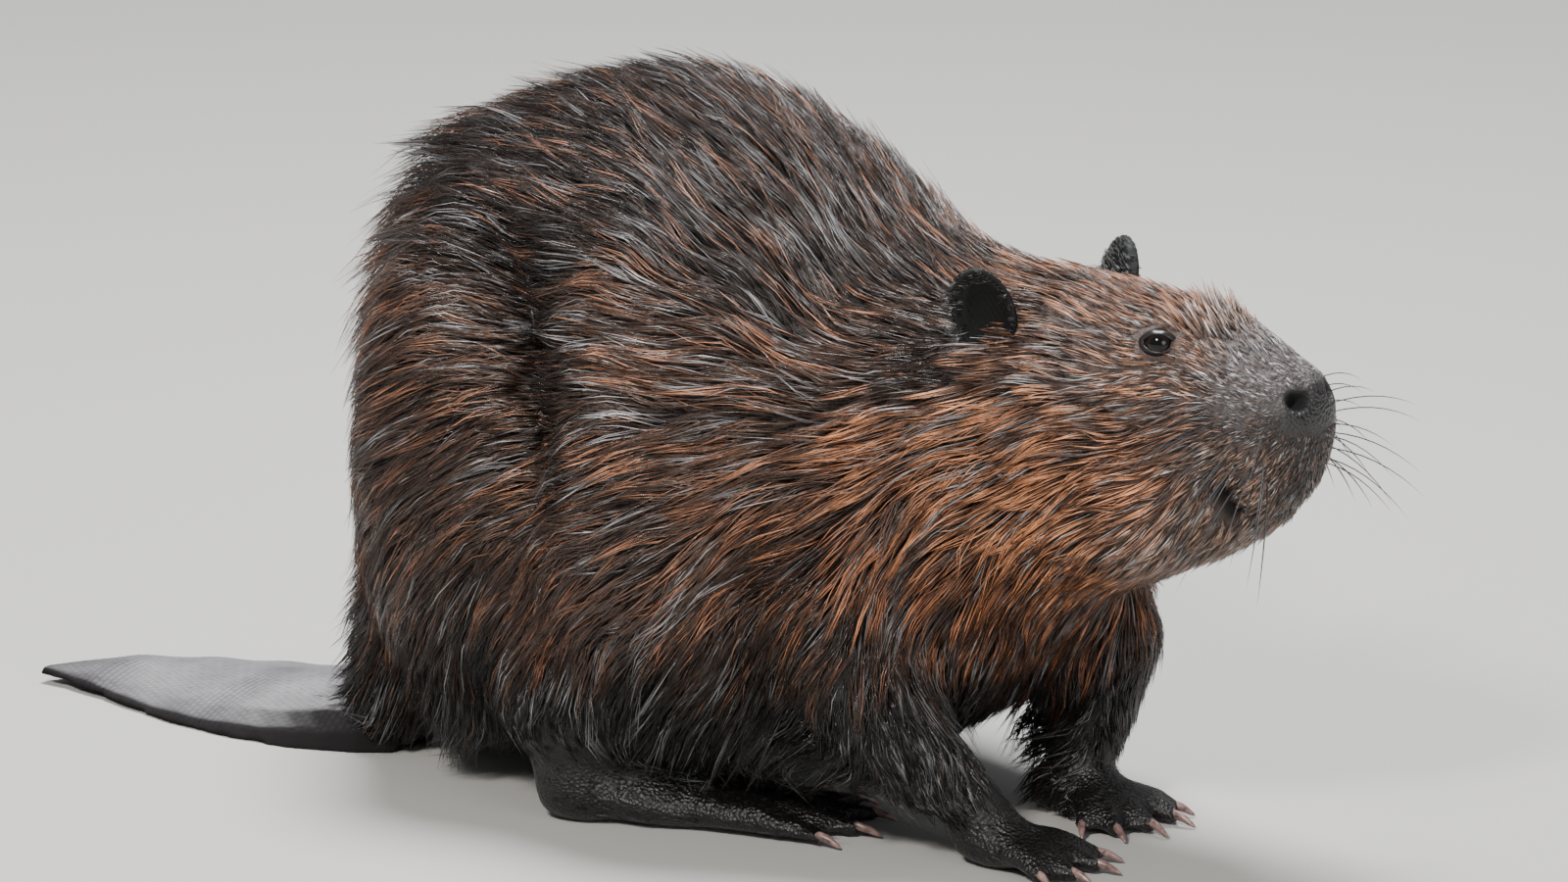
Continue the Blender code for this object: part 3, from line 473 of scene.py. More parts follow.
def read_guides(places):
    """What the guides say at each place, as a dict of arrays. Near guides count most."""
    spots = np.concatenate([[g.place for g in GUIDES] * np.array((1, side, 1)) for side in (1, -1)])
    rows = {
        "lie": np.concatenate([unit([g.lie for g in GUIDES] * np.array((1, side, 1))) for side in (1, -1)]),
        "length": np.array([g.length * MM for g in GUIDES] * 2),
        "depth": np.array([g.depth * MM for g in GUIDES] * 2),
        "loose": np.array([g.loose for g in GUIDES] * 2),
        "bare": np.array([float(g.coat == "bare") for g in GUIDES] * 2),
    }
    for name in Tone._fields:
        rows[name] = np.array([getattr(TONES[g.tone], name) for g in GUIDES] * 2)
    found = {name: [] for name in [*rows, "coat"]}
    coat = np.array([COAT_NAMES.index(g.coat) for g in GUIDES] * 2)
    for start in range(0, len(places), AT_ONCE):
        part = places[start:start + AT_ONCE]
        square = ((part[:, None, :] - spots[None]) ** 2).sum(2)
        weight = (square + GUIDE_REACH ** 2) ** -3
        weight /= weight.sum(1, keepdims=True)
        for name, values in rows.items():
            found[name].append(weight @ values)
        found["coat"].append(coat[square.argmin(1)])
    return {name: np.concatenate(parts) for name, parts in found.items()}


def gap_to_path(places, path):
    """How far each place is from a run of straight stretches, and how far along it, from 0 to 1."""
    nearest = np.full(len(places), 1.0)
    along = np.zeros(len(places))
    path = np.array(path)
    for i, (start, end) in enumerate(zip(path, path[1:])):
        step = end - start
        share = np.clip(((places - start) @ step) / (step @ step), 0, 1)
        gap = np.linalg.norm(places - start - share[:, None] * step, axis=1)
        closer = gap < nearest
        nearest[closer] = gap[closer]
        along[closer] = (i + share[closer]) / (len(path) - 1)
    return nearest, along


def crease_at(places):
    """How much of the crease there is at each place, from 0 to 1."""
    nearest, along = gap_to_path(places[:, [0, 2]], CREASE)
    fade = np.clip(along / CREASE_FADES[0], 0, 1) * np.clip((1 - along) / CREASE_FADES[1], 0, 1)
    outside = np.clip((np.abs(places[:, 1]) - CREASE_FLANK[0]) / CREASE_FLANK[1], 0, 1)
    return np.exp(-(nearest / CREASE_HALF_WIDTH) ** 2) * fade * outside


WAVE = 0.075  # the length of the coat's waves
SWAY = 0.20


def sway(places):
    """A slow wander of the hair's direction to either side, so that the coat runs in waves."""
    x, y, z = (places * (2 * math.pi / WAVE)).T
    return SWAY * (0.6 * np.sin(x + 1.3 * np.sin(0.8 * z) + 0.7 * y) + 0.4 * np.sin(2.3 * z - 1.7 * x + 2.0))


# ---------------------------------------------------------------- materials


def shader_tree(name):
    """A new material, its node tree and its Principled shader."""
    material = bpy.data.materials.new(name)
    material.use_nodes = True
    tree = material.node_tree
    return material, tree, tree.nodes["Principled BSDF"]


def add_node(tree, kind, inputs=(), **settings):
    node = tree.nodes.new(kind)
    for key, value in settings.items():
        setattr(node, key, value)
    for key, value in dict(inputs).items():
        if isinstance(value, bpy.types.NodeSocket):
            tree.links.new(value, node.inputs[key])
        else:
            node.inputs[key].default_value = value
    return node


def attribute(tree, name, output="Color"):
    return add_node(tree, "ShaderNodeAttribute", attribute_name=name).outputs[output]


def place_on_piece(tree):
    return add_node(tree, "ShaderNodeTexCoord").outputs["Object"]


def noise(tree, scale, detail):
    inputs = {"Vector": place_on_piece(tree), "Scale": scale, "Detail": detail}
    return add_node(tree, "ShaderNodeTexNoise", inputs).outputs["Fac"]


def spread(tree, value, low, high, start=0.0, end=1.0):
    """A value that runs from start to end, made to run from low to high."""
    inputs = {"Value": value, "From Min": start, "From Max": end, "To Min": low, "To Max": high}
    return add_node(tree, "ShaderNodeMapRange", inputs).outputs["Result"]


def blend(tree, factor, plain, full):
    """From one number or socket to another, by a factor."""
    inputs = {"Factor": factor, "A": plain, "B": full}
    return add_node(tree, "ShaderNodeMix", inputs, data_type="FLOAT").outputs[0]


def combine(tree, operation, first, second):
    return add_node(tree, "ShaderNodeMath", {0: first, 1: second}, operation=operation).outputs[0]


def brighten(tree, colour, gain):
    inputs = {0: colour, "Scale": gain}
    return add_node(tree, "ShaderNodeVectorMath", inputs, operation="SCALE").outputs[0]


def colour_ramp(tree, factor, *stops):
    """Colours along a factor. Each stop is its position and its colour, and the first two come first."""
    node = add_node(tree, "ShaderNodeValToRGB", {"Fac": factor})
    elements = node.color_ramp.elements
    for i, (position, colour) in enumerate(stops):
        stop = elements[i] if i < 2 else elements.new(position)
        stop.position = position
        stop.color = (*colour, 1)
    return node.outputs["Color"]


def add_bump(tree, shader, height, strength, distance):
    bump = add_node(tree, "ShaderNodeBump", {"Height": height, "Strength": strength, "Distance": distance})
    tree.links.new(bump.outputs["Normal"], shader.inputs["Normal"])


MID_NOISE = (0.3, 0.7)  # noise hardly ever lies outside these


def hair_variation_group():
    """Breaks a hair colour up: slow patches, strand by strand flecks, and a height for the bump."""
    group = bpy.data.node_groups.new("hair_variation", "ShaderNodeTree")
    face = group.interface
    face.new_socket("Colour", in_out="INPUT", socket_type="NodeSocketColor")
    face.new_socket("Flecks", in_out="INPUT", socket_type="NodeSocketFloat")
    face.new_socket("Fineness", in_out="INPUT", socket_type="NodeSocketFloat")
    face.new_socket("Colour", in_out="OUTPUT", socket_type="NodeSocketColor")
    face.new_socket("Height", in_out="OUTPUT", socket_type="NodeSocketFloat")
    given = group.nodes.new("NodeGroupInput")
    out = group.nodes.new("NodeGroupOutput")
    patches = noise(group, 28.0, 3.0)
    fine = add_node(group, "ShaderNodeTexNoise", {
        "Vector": place_on_piece(group), "Scale": given.outputs["Fineness"], "Detail": 3.0, "Roughness": 0.65,
    }).outputs["Fac"]
    flecks = spread(group, fine, -1.0, 1.0, *MID_NOISE)
    size = combine(group, "MULTIPLY", flecks, given.outputs["Flecks"])
    slow = spread(group, patches, 0.78, 1.22, *MID_NOISE)
    gain = combine(group, "ADD", slow, size)
    group.links.new(brighten(group, given.outputs["Colour"], gain), out.inputs["Colour"])
    group.links.new(fine, out.inputs["Height"])
    return group


def place_variation(tree, colour, flecks, fineness):
    node = tree.nodes.new("ShaderNodeGroup")
    node.node_tree = bpy.data.node_groups.get("hair_variation") or hair_variation_group()
    tree.links.new(colour, node.inputs["Colour"])
    node.inputs["Flecks"].default_value = flecks
    node.inputs["Fineness"].default_value = fineness
    return node.outputs


def wet_hair():
    """Hair in the tone of its place, flecked. Guard hair has a wet, sharp shine, and underfur is dull."""
    material, tree, shader = shader_tree("wet_hair")
    varied = place_variation(tree, attribute(tree, "coat_tone"), 0.22, 420.0)
    tree.links.new(varied["Colour"], shader.inputs["Base Color"])
    dullest = spread(tree, attribute(tree, "wet", "Fac"), 0.62, 0.16)
    patchy = spread(tree, varied["Height"], 0.0, 0.14, *MID_NOISE)
    tree.links.new(combine(tree, "ADD", dullest, patchy), shader.inputs["Roughness"])
    shader.inputs["Specular IOR Level"].default_value = 0.62
    return material


def underfur_skin():
    """Woolly underfur over most of the body, and pebbled hide where the skin is bare, with painted highlights
    on the pebbles and painted shade between them.
    """
    material, tree, shader = shader_tree("underfur_skin")
    bare = attribute(tree, "bare", "Fac")
    varied = place_variation(tree, attribute(tree, "coat_tone"), 0.40, 1100.0)
    pebbles = add_node(tree, "ShaderNodeTexVoronoi", {
        "Vector": place_on_piece(tree), "Scale": 640.0,
    }).outputs["Distance"]
    blotches = spread(tree, noise(tree, 240.0, 4.0), 0.65, 1.35, *MID_NOISE)
    # painted highlight on the pebbles' tops and painted shade in the gaps between them
    pebble_lighting = spread(tree, pebbles, 2.2, 0.3, 0.0, 0.6)
    hide = brighten(tree, varied["Colour"], blend(tree, bare, blotches, pebble_lighting))
    tree.links.new(hide, shader.inputs["Base Color"])
    add_bump(tree, shader, blend(tree, bare, varied["Height"], pebbles), 0.9, 0.0011)
    wet = spread(tree, bare, 0.50, 0.34)
    tree.links.new(combine(tree, "ADD", wet, attribute(tree, "hollow", "Fac")), shader.inputs["Roughness"])
    shader.inputs["Specular IOR Level"].default_value = 0.5
    return material


def tail_hide():
    """Grey scaly hide with a satin shine, dark and dull between the scales and at the rim. Its pale grey is
    partly its own and partly a painted sheen, and the rim's dark is partly its own and partly painted shade.
    """
    material, tree, shader = shader_tree("tail_hide")
    clouds = noise(tree, 26.0, 6.0)
    # a pale grey that is partly the hide's own and partly a painted sheen on the top
    ground = colour_ramp(tree, clouds, (0.3, (0.105, 0.103, 0.108)), (0.7, (0.250, 0.244, 0.252)))
    light = attribute(tree, "scale_rise", "Fac")
    scales = add_node(tree, "ShaderNodeMix", {"Factor": light}, data_type="RGBA")
    # A Mix node lists a socket of each type under the same name, so the colour ones go by their place.
    scales.inputs[6].default_value = (0.006, 0.005, 0.005, 1)
    tree.links.new(ground, scales.inputs[7])
    tree.links.new(scales.outputs[2], shader.inputs["Base Color"])
    add_bump(tree, shader, noise(tree, 900.0, 2.0), 0.35, 0.0003)
    rim = attribute(tree, "rim", "Fac")
    tree.links.new(blend(tree, rim, spread(tree, clouds, 0.34, 0.56), 0.95), shader.inputs["Roughness"])
    tree.links.new(spread(tree, rim, 0.5, 0.08), shader.inputs["Specular IOR Level"])
    return material


def claw_horn():
    material, tree, shader = shader_tree("claw_horn")
    streaks = noise(tree, 340.0, 4.0)
    horn = colour_ramp(tree, streaks, (0.35, (0.075, 0.042, 0.036)), (0.7, (0.290, 0.180, 0.165)))
    tree.links.new(horn, shader.inputs["Base Color"])
    add_bump(tree, shader, streaks, 0.3, 0.0003)
    shader.inputs["Roughness"].default_value = 0.32
    return material


def wet_eye():
    """A dark brown iris round a black pupil, under a clear wet surface."""
    material, tree, shader = shader_tree("wet_eye")
    rings = colour_ramp(
        tree, attribute(tree, "iris", "Fac"),
        (0.10, (0.002, 0.002, 0.002)), (0.16, (0.012, 0.006, 0.004)), (0.42, (0.002, 0.0015, 0.0015)),
    )
    rays = spread(tree, noise(tree, 800.0, 3.0), 0.5, 1.5)
    tree.links.new(brighten(tree, rings, rays), shader.inputs["Base Color"])
    shader.inputs["Roughness"].default_value = 0.04
    shader.inputs["Specular IOR Level"].default_value = 0.32
    return material


def lid_skin():
    """Dark wrinkled skin, a little wet."""
    material, tree, shader = shader_tree("lid_skin")
    folds = noise(tree, 600.0, 4.0)
    skin = colour_ramp(tree, folds, (0.0, (0.005, 0.004, 0.004)), (1.0, (0.022, 0.018, 0.018)))
    tree.links.new(skin, shader.inputs["Base Color"])
    add_bump(tree, shader, folds, 0.5, 0.0003)
    shader.inputs["Roughness"].default_value = 0.30
    shader.inputs["Specular IOR Level"].default_value = 0.40
    return material


def ear_leather():
    """Black hide that hardly shines, finely wrinkled."""
    material, tree, shader = shader_tree("ear_leather")
    tree.links.new(attribute(tree, "coat_tone"), shader.inputs["Base Color"])
    add_bump(tree, shader, noise(tree, 700.0, 4.0), 0.6, 0.0004)
    shader.inputs["Roughness"].default_value = 0.55
    shader.inputs["Specular IOR Level"].default_value = 0.18
    return material


def floor_paint():
    material, _, shader = shader_tree("floor_paint")
    shader.inputs["Base Color"].default_value = (0.40, 0.39, 0.37, 1)
    shader.inputs["Roughness"].default_value = 0.8
    return material


# ---------------------------------------------------------------- the skin

NOT_SKIN = ("claw", "eye", "ear")
SKIN_VOXEL = 0.0036
SWELL = 0.0004  # closes the gaps between the solids
FACE_FROM = 0.238  # ahead of this the skin is twice as fine, and ahead of the next four times
MUZZLE_FROM = 0.276
FEET_FROM = -0.14  # and twice as fine on the feet, ahead of this
FEET_BELOW = 0.026
SOLES = 0.003
FULL_COAT = 0.006  # where the coat is this deep, the skin is smoothed in full
COARSE = (0.10, 1.0, 26)  # each smoothing of the skin: its least share, its most, and its rounds
FINE = (0.25, 1.0, 10)
LET_IN = (0.25, 0.6, 6)
SKIN_TONE = (0.75, 0.25)  # of the root's colour, and of the tip's
FEET_MIDDLE, FEET_REACH = 0.08, 0.2  # along the body
FEET_FADE = (0.034, 0.014)  # bare hide below this height, over so much
FEET_BARE = 0.7
BLADE_CUT = -0.188  # the skin ends here, inside the tail's blade
BLADE_FROM = -0.152  # and sinks into the blade from here on, by so much, below this height
BLADE_SINK = 0.0030
BLADE_SLOPE = 0.008  # over so much
BLADE_TOP = 0.034
BLADE_CLEAR = -0.172  # locks that end on the blade beyond this are cut to a share of their length
BLADE_SHORTENS = 0.35
EYE_CLEAR = (1.60, 1.20, 1.02)  # no hair starts nearer to an eye than this, in its radii
EYE_AHEAD = 0.38  # that clear room lies so many radii ahead of it, as hair points back
HAIR_FROM = 0.002  # or nearer to the floor than this
HAIR_AHEAD_OF = -0.162  # or further back, where the skin runs on inside the tail's blade
HOLLOW_DARK = 0.92  # what a nostril or the mouth takes off the skin's colour as painted shade, and adds to its roughness
HOLLOW_DULL = 0.6
HOLLOW_HAIRY = 0.8  # no hair starts in a hollow that is darker than this


def finish_cut(bm, mesh):
    """Turns the many-sided faces that a cut leaves into triangles."""
    bmesh.ops.triangulate(bm, faces=[face for face in bm.faces if len(face.verts) > 4])
    bm.to_mesh(mesh)
    bm.free()


def refine(mesh, wanted):
    """Splits every edge whose middle is in the wanted place, to give that part finer skin."""
    bm = bmesh.new()
    bm.from_mesh(mesh)
    edges = [edge for edge in bm.edges if wanted((edge.verts[0].co + edge.verts[1].co) / 2)]
    bmesh.ops.subdivide_edges(bm, edges=edges, cuts=1, use_grid_fill=True)
    finish_cut(bm, mesh)


def end_at(mesh, point, normal):
    """Cuts a closed surface off beyond a plane and closes it there."""
    bm = bmesh.new()
    bm.from_mesh(mesh)
    everything = bm.verts[:] + bm.edges[:] + bm.faces[:]
    bmesh.ops.bisect_plane(bm, geom=everything, plane_co=point, plane_no=normal, clear_outer=True)
    bmesh.ops.holes_fill(bm, edges=[edge for edge in bm.edges if edge.is_boundary], sides=0)
    finish_cut(bm, mesh)


def soften(points, edges, depth, least, most, rounds):
    """Smooths the skin, most where the coat over it is deep."""
    return relax(points, edges, np.clip(depth / FULL_COAT, least, most), rounds)


def sunken_skin(flesh):
    """The solids' own surface as one smooth mesh, let in by the coat's depth, and its points."""
    skin = remeshed_copy("skin", flesh, SKIN_VOXEL, SWELL)
    mesh = skin.data
    end_at(mesh, (BLADE_CUT, 0, 0), (-1, 0, 0))
    points = points_of(mesh).astype(float)
    move_points(mesh, soften(points, edges_of(mesh), read_guides(points)["depth"], *COARSE))
    refine(mesh, lambda place: place.x > FACE_FROM or (SOLES < place.z < FEET_BELOW and place.x > FEET_FROM))
    refine(mesh, lambda place: place.x > MUZZLE_FROM)
    points = points_of(mesh).astype(float)
    edges = edges_of(mesh)
    depth = read_guides(points)["depth"]
    points = soften(points, edges, depth, *FINE)
    move_points(mesh, points)
    sink = np.clip((BLADE_FROM - points[:, 0]) / BLADE_SLOPE, 0, 1) * (points[:, 2] < BLADE_TOP)
    inward = depth + CREASE_DEPTH * crease_at(points) + BLADE_SINK * sink
    points = soften(points - normals_of(mesh) * inward[:, None], edges, depth, *LET_IN)
    move_points(mesh, points)
    return skin, points


def make_skin():
    """One surface over the whole animal, inside its coat, with its crease, its folds and its tones, and
    painted shade in the crease, the folds and the nostrils.
    """
    flesh = [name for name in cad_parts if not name.startswith(NOT_SKIN)]
    skin, points = sunken_skin(flesh)
    mesh = skin.data
    points, dark = carve_face(points, normals_of(mesh))
    points[:, 2] = np.maximum(points[:, 2], 0.0)
    move_points(mesh, points)
    said = read_guides(points)
    said["crease"] = crease_at(points)
    said["dark"] = dark
    said["hairy"] = away_from_eyes(points) & (dark < HOLLOW_HAIRY)
    said["hairy"] &= (points[:, 2] > HAIR_FROM) & (points[:, 0] > HAIR_AHEAD_OF)
    # painted shade in the crease and in the nostrils, the mouth and the folds
    shade = (1 - CREASE_SHADE * said["crease"]) * (1 - HOLLOW_DARK * dark)
    paint(mesh, "coat_tone", (SKIN_TONE[0] * said["root"] + SKIN_TONE[1] * said["tip"]) * shade[:, None])
    feet = np.clip((FEET_FADE[0] - points[:, 2]) / FEET_FADE[1], 0, 1)
    feet *= np.abs(points[:, 0] - FEET_MIDDLE) < FEET_REACH
    paint(mesh, "bare", np.maximum(said["bare"], FEET_BARE * feet))
    paint(mesh, "hollow", HOLLOW_DULL * dark)
    unwrap(skin)
    settle_piece(skin, "brown_coat", underfur_skin(), *[name for name in flesh if name != "tail"])
    return skin, said


def away_from_eyes(points):
    clear = np.ones(len(points), bool)
    for side_name in SIDES:
        low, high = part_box("eye_" + side_name)
        radius = (high.z - low.z) / 2
        middle = np.array((low + high) / 2) + np.array((EYE_AHEAD * radius, 0, 0))
        clear &= np.linalg.norm((points - middle) / (np.array(EYE_CLEAR) * radius), axis=1) > 1
    return clear


def carve_face(points, normals):
    """Presses the nostrils and the folds into the skin. Also says how much painted shade darkens them."""
    nose_low, nose_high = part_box("nose")
    middle = (nose_low + nose_high) / 2
    dark = np.zeros(len(points))
    for side in SIDES.values():
        nostril = np.array(middle) + np.array(NOSTRIL_AT) * (1, side, 1)
        away = (points - nostril) / np.array(NOSTRIL_SIZE)
        hole = np.exp(-(away ** 2).sum(1) ** 2)
        points = points - normals * (NOSTRIL_DEPTH * hole)[:, None]
        dark = np.maximum(dark, np.clip(NOSTRIL_DARK * hole, 0, 1))
        for fold in FOLDS:
            path = [(x, side * y, z) for x, y, z in fold.path]
            gap, along = gap_to_path(points, path)
            press = np.exp(-(gap / fold.half_width) ** 2)
            points = points - normals * (fold.depth * press)[:, None]
            dark = np.maximum(dark, np.minimum(fold.dark * press, 1))
    return points, dark


def unwrap(obj):
    """Opens the surface flat into a map named OFBake."""
    obj.data.uv_layers.new(name="OFBake")
    bpy.context.view_layer.objects.active = obj
    obj.select_set(True)
    bpy.ops.object.mode_set(mode="EDIT")
    bpy.ops.mesh.select_all(action="SELECT")
    bpy.ops.uv.smart_project(angle_limit=math.radians(66), island_margin=0.002)
    bpy.ops.object.mode_set(mode="OBJECT")
    obj.select_set(False)


# ---------------------------------------------------------------- the coat

# locks: how many in all. levels: the rings along a lock, as shares of its length. width: of a long lock, in
# millimetres. clump: how many locks run together to one point. pull: how closely their tips meet. accent: how
# much of the tone's rust and painted highlight it shows. wet: its shine. on: the guides' coats that it grows
# over, if not
# its own. length: against the guides' length. together: how much a clump shares one colour, from 0 to 1.
Coat = namedtuple(
    "Coat", "locks levels width clump pull accent wet slot on length together", defaults=((), 1.0, 0.45),
)
LONG = (0.0, 0.34, 0.68, 1.0)
SHORT = (0.0, 0.5, 1.0)
TINY = (0.0, 1.0)
BODY = ("nape", "shoulder", "back", "flank", "haunch", "rump")
COATS = {
    "under": Coat(22000, TINY, 0.58, 5, 0.50, 0.0, 0.0, "brown_coat", (*BODY, "ruff"), 0.55),
    "face": Coat(15000, SHORT, 0.42, 5, 0.90, 0.85, 0.7, "ruff_coat"),
    "ruff": Coat(9500, LONG, 0.47, 6, 0.95, 1.0, 0.8, "ruff_coat", (), 1.0, 0.60),
    "nape": Coat(5500, SHORT, 0.47, 5, 0.90, 0.3, 0.8, "brown_coat"),
    "shoulder": Coat(7500, SHORT, 0.48, 5, 0.90, 0.3, 0.8, "brown_coat"),
    "back": Coat(8500, SHORT, 0.48, 5, 0.90, 0.3, 0.8, "brown_coat"),
    "flank": Coat(10500, SHORT, 0.48, 5, 0.90, 0.3, 0.8, "brown_coat"),
    "belly": Coat(1200, SHORT, 0.80, 5, 0.90, 0.0, 0.8, "black_coat"),
    "haunch": Coat(9000, SHORT, 0.48, 5, 0.90, 0.3, 0.8, "brown_coat"),
    "rump": Coat(8500, SHORT, 0.48, 5, 0.90, 0.3, 0.8, "brown_coat"),
    "legs": Coat(8000, SHORT, 0.46, 6, 0.92, 0.9, 1.0, "black_coat"),
    "feet": Coat(8000, TINY, 0.40, 5, 0.70, 1.0, 1.0, "black_coat"),
    "wisps": Coat(10500, LONG, 0.46, 4, 0.97, 2.0, 1.0, "brown_coat", BODY, 1.35, 0.85),
    "spikes": Coat(1800, LONG, 0.50, 5, 0.95, 1.2, 1.0, "black_coat", ("legs",), 1.30),
}
EAR_COAT = Coat(1500, SHORT, 0.32, 5, 0.85, 1.0, 0.6, "ear_skin", ("nape",))
READ_AT_ROOTS = ("length", "loose", "root", "tip", "rust", "rusty", "slaty", "crease", "dark")
MOST_BARE = 0.4  # hair grows where the skin is less bare than this
MOST_LOCKS = 12000  # in one piece
MOST_SHORT_LOCKS = 20000  # in one piece of the plainest kind
CLOSEST_LENGTH = 0.003
PATCH = 0.003  # a lock's share of the map
BUNDLE = 4  # clumps lean together in bundles of so many
BUNDLE_PULL = 0.30
SPINE_WIDTH = 1.5  # a clump's leading lock is so much wider
LEAST_WIDTH = 0.16  # in millimetres, of the shortest hair
WIDTH_GROWTH = 34.0  # what each metre of length adds to the width, in millimetres
LOOSE_LIFT = 0.38  # how steeply the loosest hair stands off, as a slope, over the least slope
LEAST_LIFT = 0.02
LIFT_BIAS = 1.5  # above 1, most hair lies nearer to the least slope
FREE_FROM = 0.55  # hair looser than this leaves the surface, to point the way its guide does
FREEST = 0.9
ASTRAY = 0.45  # a step has left the skin if it ends further off than this share of itself
ASTRAY_LOOSE = 0.33  # what full looseness takes off that share
ROOT_SUNK = 0.0008
SKIN_GAP = 0.0002  # the nearest that hair comes to the skin, and to the floor
FLOOR_GAP = 0.0009
# Random measures: the least, and how much more it can be.
LENGTHS = (0.60, 0.60)
WIDTHS = (0.70, 0.60)
FILLS = (0.20, 0.50)  # how much of the coat's depth a lock rises through
PULLS = (0.75, 0.50)
CLUMP_SHADES = (0.55, 0.90)
LOCK_SHADES = (0.60, 0.80)
FILL_BY_LENGTH = 0.32  # what a coat of full length adds to the fill
STRAY = 0.12  # how unevenly single locks lie
LEADER_LENGTH = 1.15
CREASE_SHORTENS = 0.35
HOLLOW_SHADES = 0.8  # what painted shade in a hollow takes off the hair's colour
PULL_CURVE = 1.1
MOST_PULL = 0.97
PALE_FROM, PALE_FROM_LONG = 0.05, 0.25  # where along a lock the root's colour begins to turn into the tip's
PALE_OVER = 0.70
LOCK_PROFILE = ((0.0, 0.3, 0.7, 1.0), (0.75, 1.0, 0.66, 0.0))  # along a lock, and how wide it is there
LOCK_ACROSS, LOCK_THICK = 1.15, 0.75  # against its width
MAP_TAPER = 0.6  # how much a lock narrows on its patch of the map
MAP_ALONG = 0.85  # how much of the patch's height its length takes


def vary(count, least, more):
    return least + more * RANDOM.random(count)


def lock_template(levels):
    """A three-sided spike along Z, made once: where each point lies along and round it, and its triangles."""
    bm = bmesh.new()
    bmesh.ops.create_cone(bm, cap_ends=True, cap_tris=True, segments=3, radius1=1.0, radius2=0.0, depth=1.0)
    bmesh.ops.translate(bm, verts=bm.verts, vec=(0, 0, 0.5))
    for level in levels[1:-1]:
        everything = bm.verts[:] + bm.edges[:] + bm.faces[:]
        bmesh.ops.bisect_plane(bm, geom=everything, plane_co=(0, 0, level), plane_no=(0, 0, 1))
    bmesh.ops.triangulate(bm, faces=bm.faces)
    bm.verts.index_update()
    round_it = np.array([math.atan2(vert.co.y, vert.co.x) for vert in bm.verts])
    ring = np.array([int(np.abs(np.array(levels) - vert.co.z).argmin()) for vert in bm.verts])
    triangles = np.array([[vert.index for vert in face.verts] for face in bm.faces])
    bm.free()
    return ring, round_it, triangles


def sow(surface, said, names, count):
    """Roots spread over the named coats' part of the surface: the triangles and their corners' shares."""
    own = np.isin(said["coat"], [COAT_NAMES.index(name) for name in names]) & (said["bare"] < MOST_BARE)
    chosen = np.flatnonzero((own & said["hairy"])[surface.triangles].all(1))
    corners = surface.points[surface.triangles[chosen]]
    area = np.linalg.norm(np.cross(corners[:, 1] - corners[:, 0], corners[:, 2] - corners[:, 0]), axis=1)
    # Short hair grows closer together, so that it covers the skin as well as long hair does.
    share = area / np.maximum(said["length"][surface.triangles[chosen, 0]], CLOSEST_LENGTH)
    picked = chosen[RANDOM.choice(len(chosen), count, p=share / share.sum())]
    a, b = RANDOM.random(count), RANDOM.random(count)
    over = a + b > 1
    a[over], b[over] = 1 - a[over], 1 - b[over]
    return picked, np.stack([1 - a - b, a, b], 1)


def at_roots(surface, values, picked, shares):
    corners = values[surface.triangles[picked]]
    return (corners * shares.reshape(shares.shape + (1,) * (corners.ndim - 2))).sum(1)


def comb(surface, said, start, levels, length, fill, loose, stray):
    """Runs each lock over the skin from its root, along the lie, and lifts it into the coat."""
    here, normals, faces = start
    root_crease = said["crease"][surface.triangles[faces, 0]]
    bridging = RANDOM.random(len(here)) * (1 - root_crease)
    lift = LEAST_LIFT + loose * LOOSE_LIFT * RANDOM.random(len(here)) ** LIFT_BIAS
    free = FREEST * np.clip(loose - FREE_FROM, 0, 1)
    leave = ASTRAY - ASTRAY_LOOSE * np.clip(loose, 0, 1)
    paths = [here - normals * ROOT_SUNK]
    ups = [normals]
    for share, step in zip(levels[1:], np.diff(levels)):
        up = surface.face_normals[faces]
        lie = across_surface(said["lie"][surface.triangles[faces, 0]] + stray, up)
        lie = unit(lie + np.cross(up, lie) * sway(here)[:, None])
        lie = unit(lie + free[:, None] * said["lie"][surface.triangles[faces, 0]])
        ahead = here + lie * (length * step)[:, None]
        here = np.empty_like(ahead)
        faces = np.empty(len(ahead), int)
        for k, place in enumerate(ahead.tolist()):
            here[k], _, faces[k], _ = surface.tree.find_nearest(place)
        # Past an edge, such as the belly's, hair goes straight on and doesn't jump to what lies beyond. The
        # looser it is, the sooner.
        astray = np.linalg.norm(here - ahead, axis=1) > leave * length * step
        here[astray] = ahead[astray]
        up = surface.face_normals[faces]
        corner = surface.triangles[faces, 0]
        depth = said["depth"][corner] + CREASE_DEPTH * said["crease"][corner] * bridging
        rise = depth * (1 - (1 - share) ** 2) * fill + length * lift * share ** 2
        path = here + up * (rise + SKIN_GAP)[:, None]
        path[:, 2] = np.maximum(path[:, 2], FLOOR_GAP)
        paths.append(path)
        ups.append(up)
    return np.stack(paths, 1), np.stack(ups, 1)


def gather(paths, leaders, levels, pull):
    """Draws each lock towards the nearest leading one, more and more towards the tip. Also says which."""
    tree = KDTree(len(leaders))
    for i, leader in enumerate(leaders):
        tree.insert(paths[leader, 0], i)
    tree.balance()
    nearest = np.array([tree.find(root)[1] for root in paths[:, 0]])
    lead = paths[leaders[nearest]]
    jitter = vary(len(paths), *PULLS)
    strength = np.clip(pull * jitter[:, None] * (np.array(levels) ** PULL_CURVE)[None, :], 0, MOST_PULL)
    return paths + (lead - paths) * strength[:, :, None], nearest


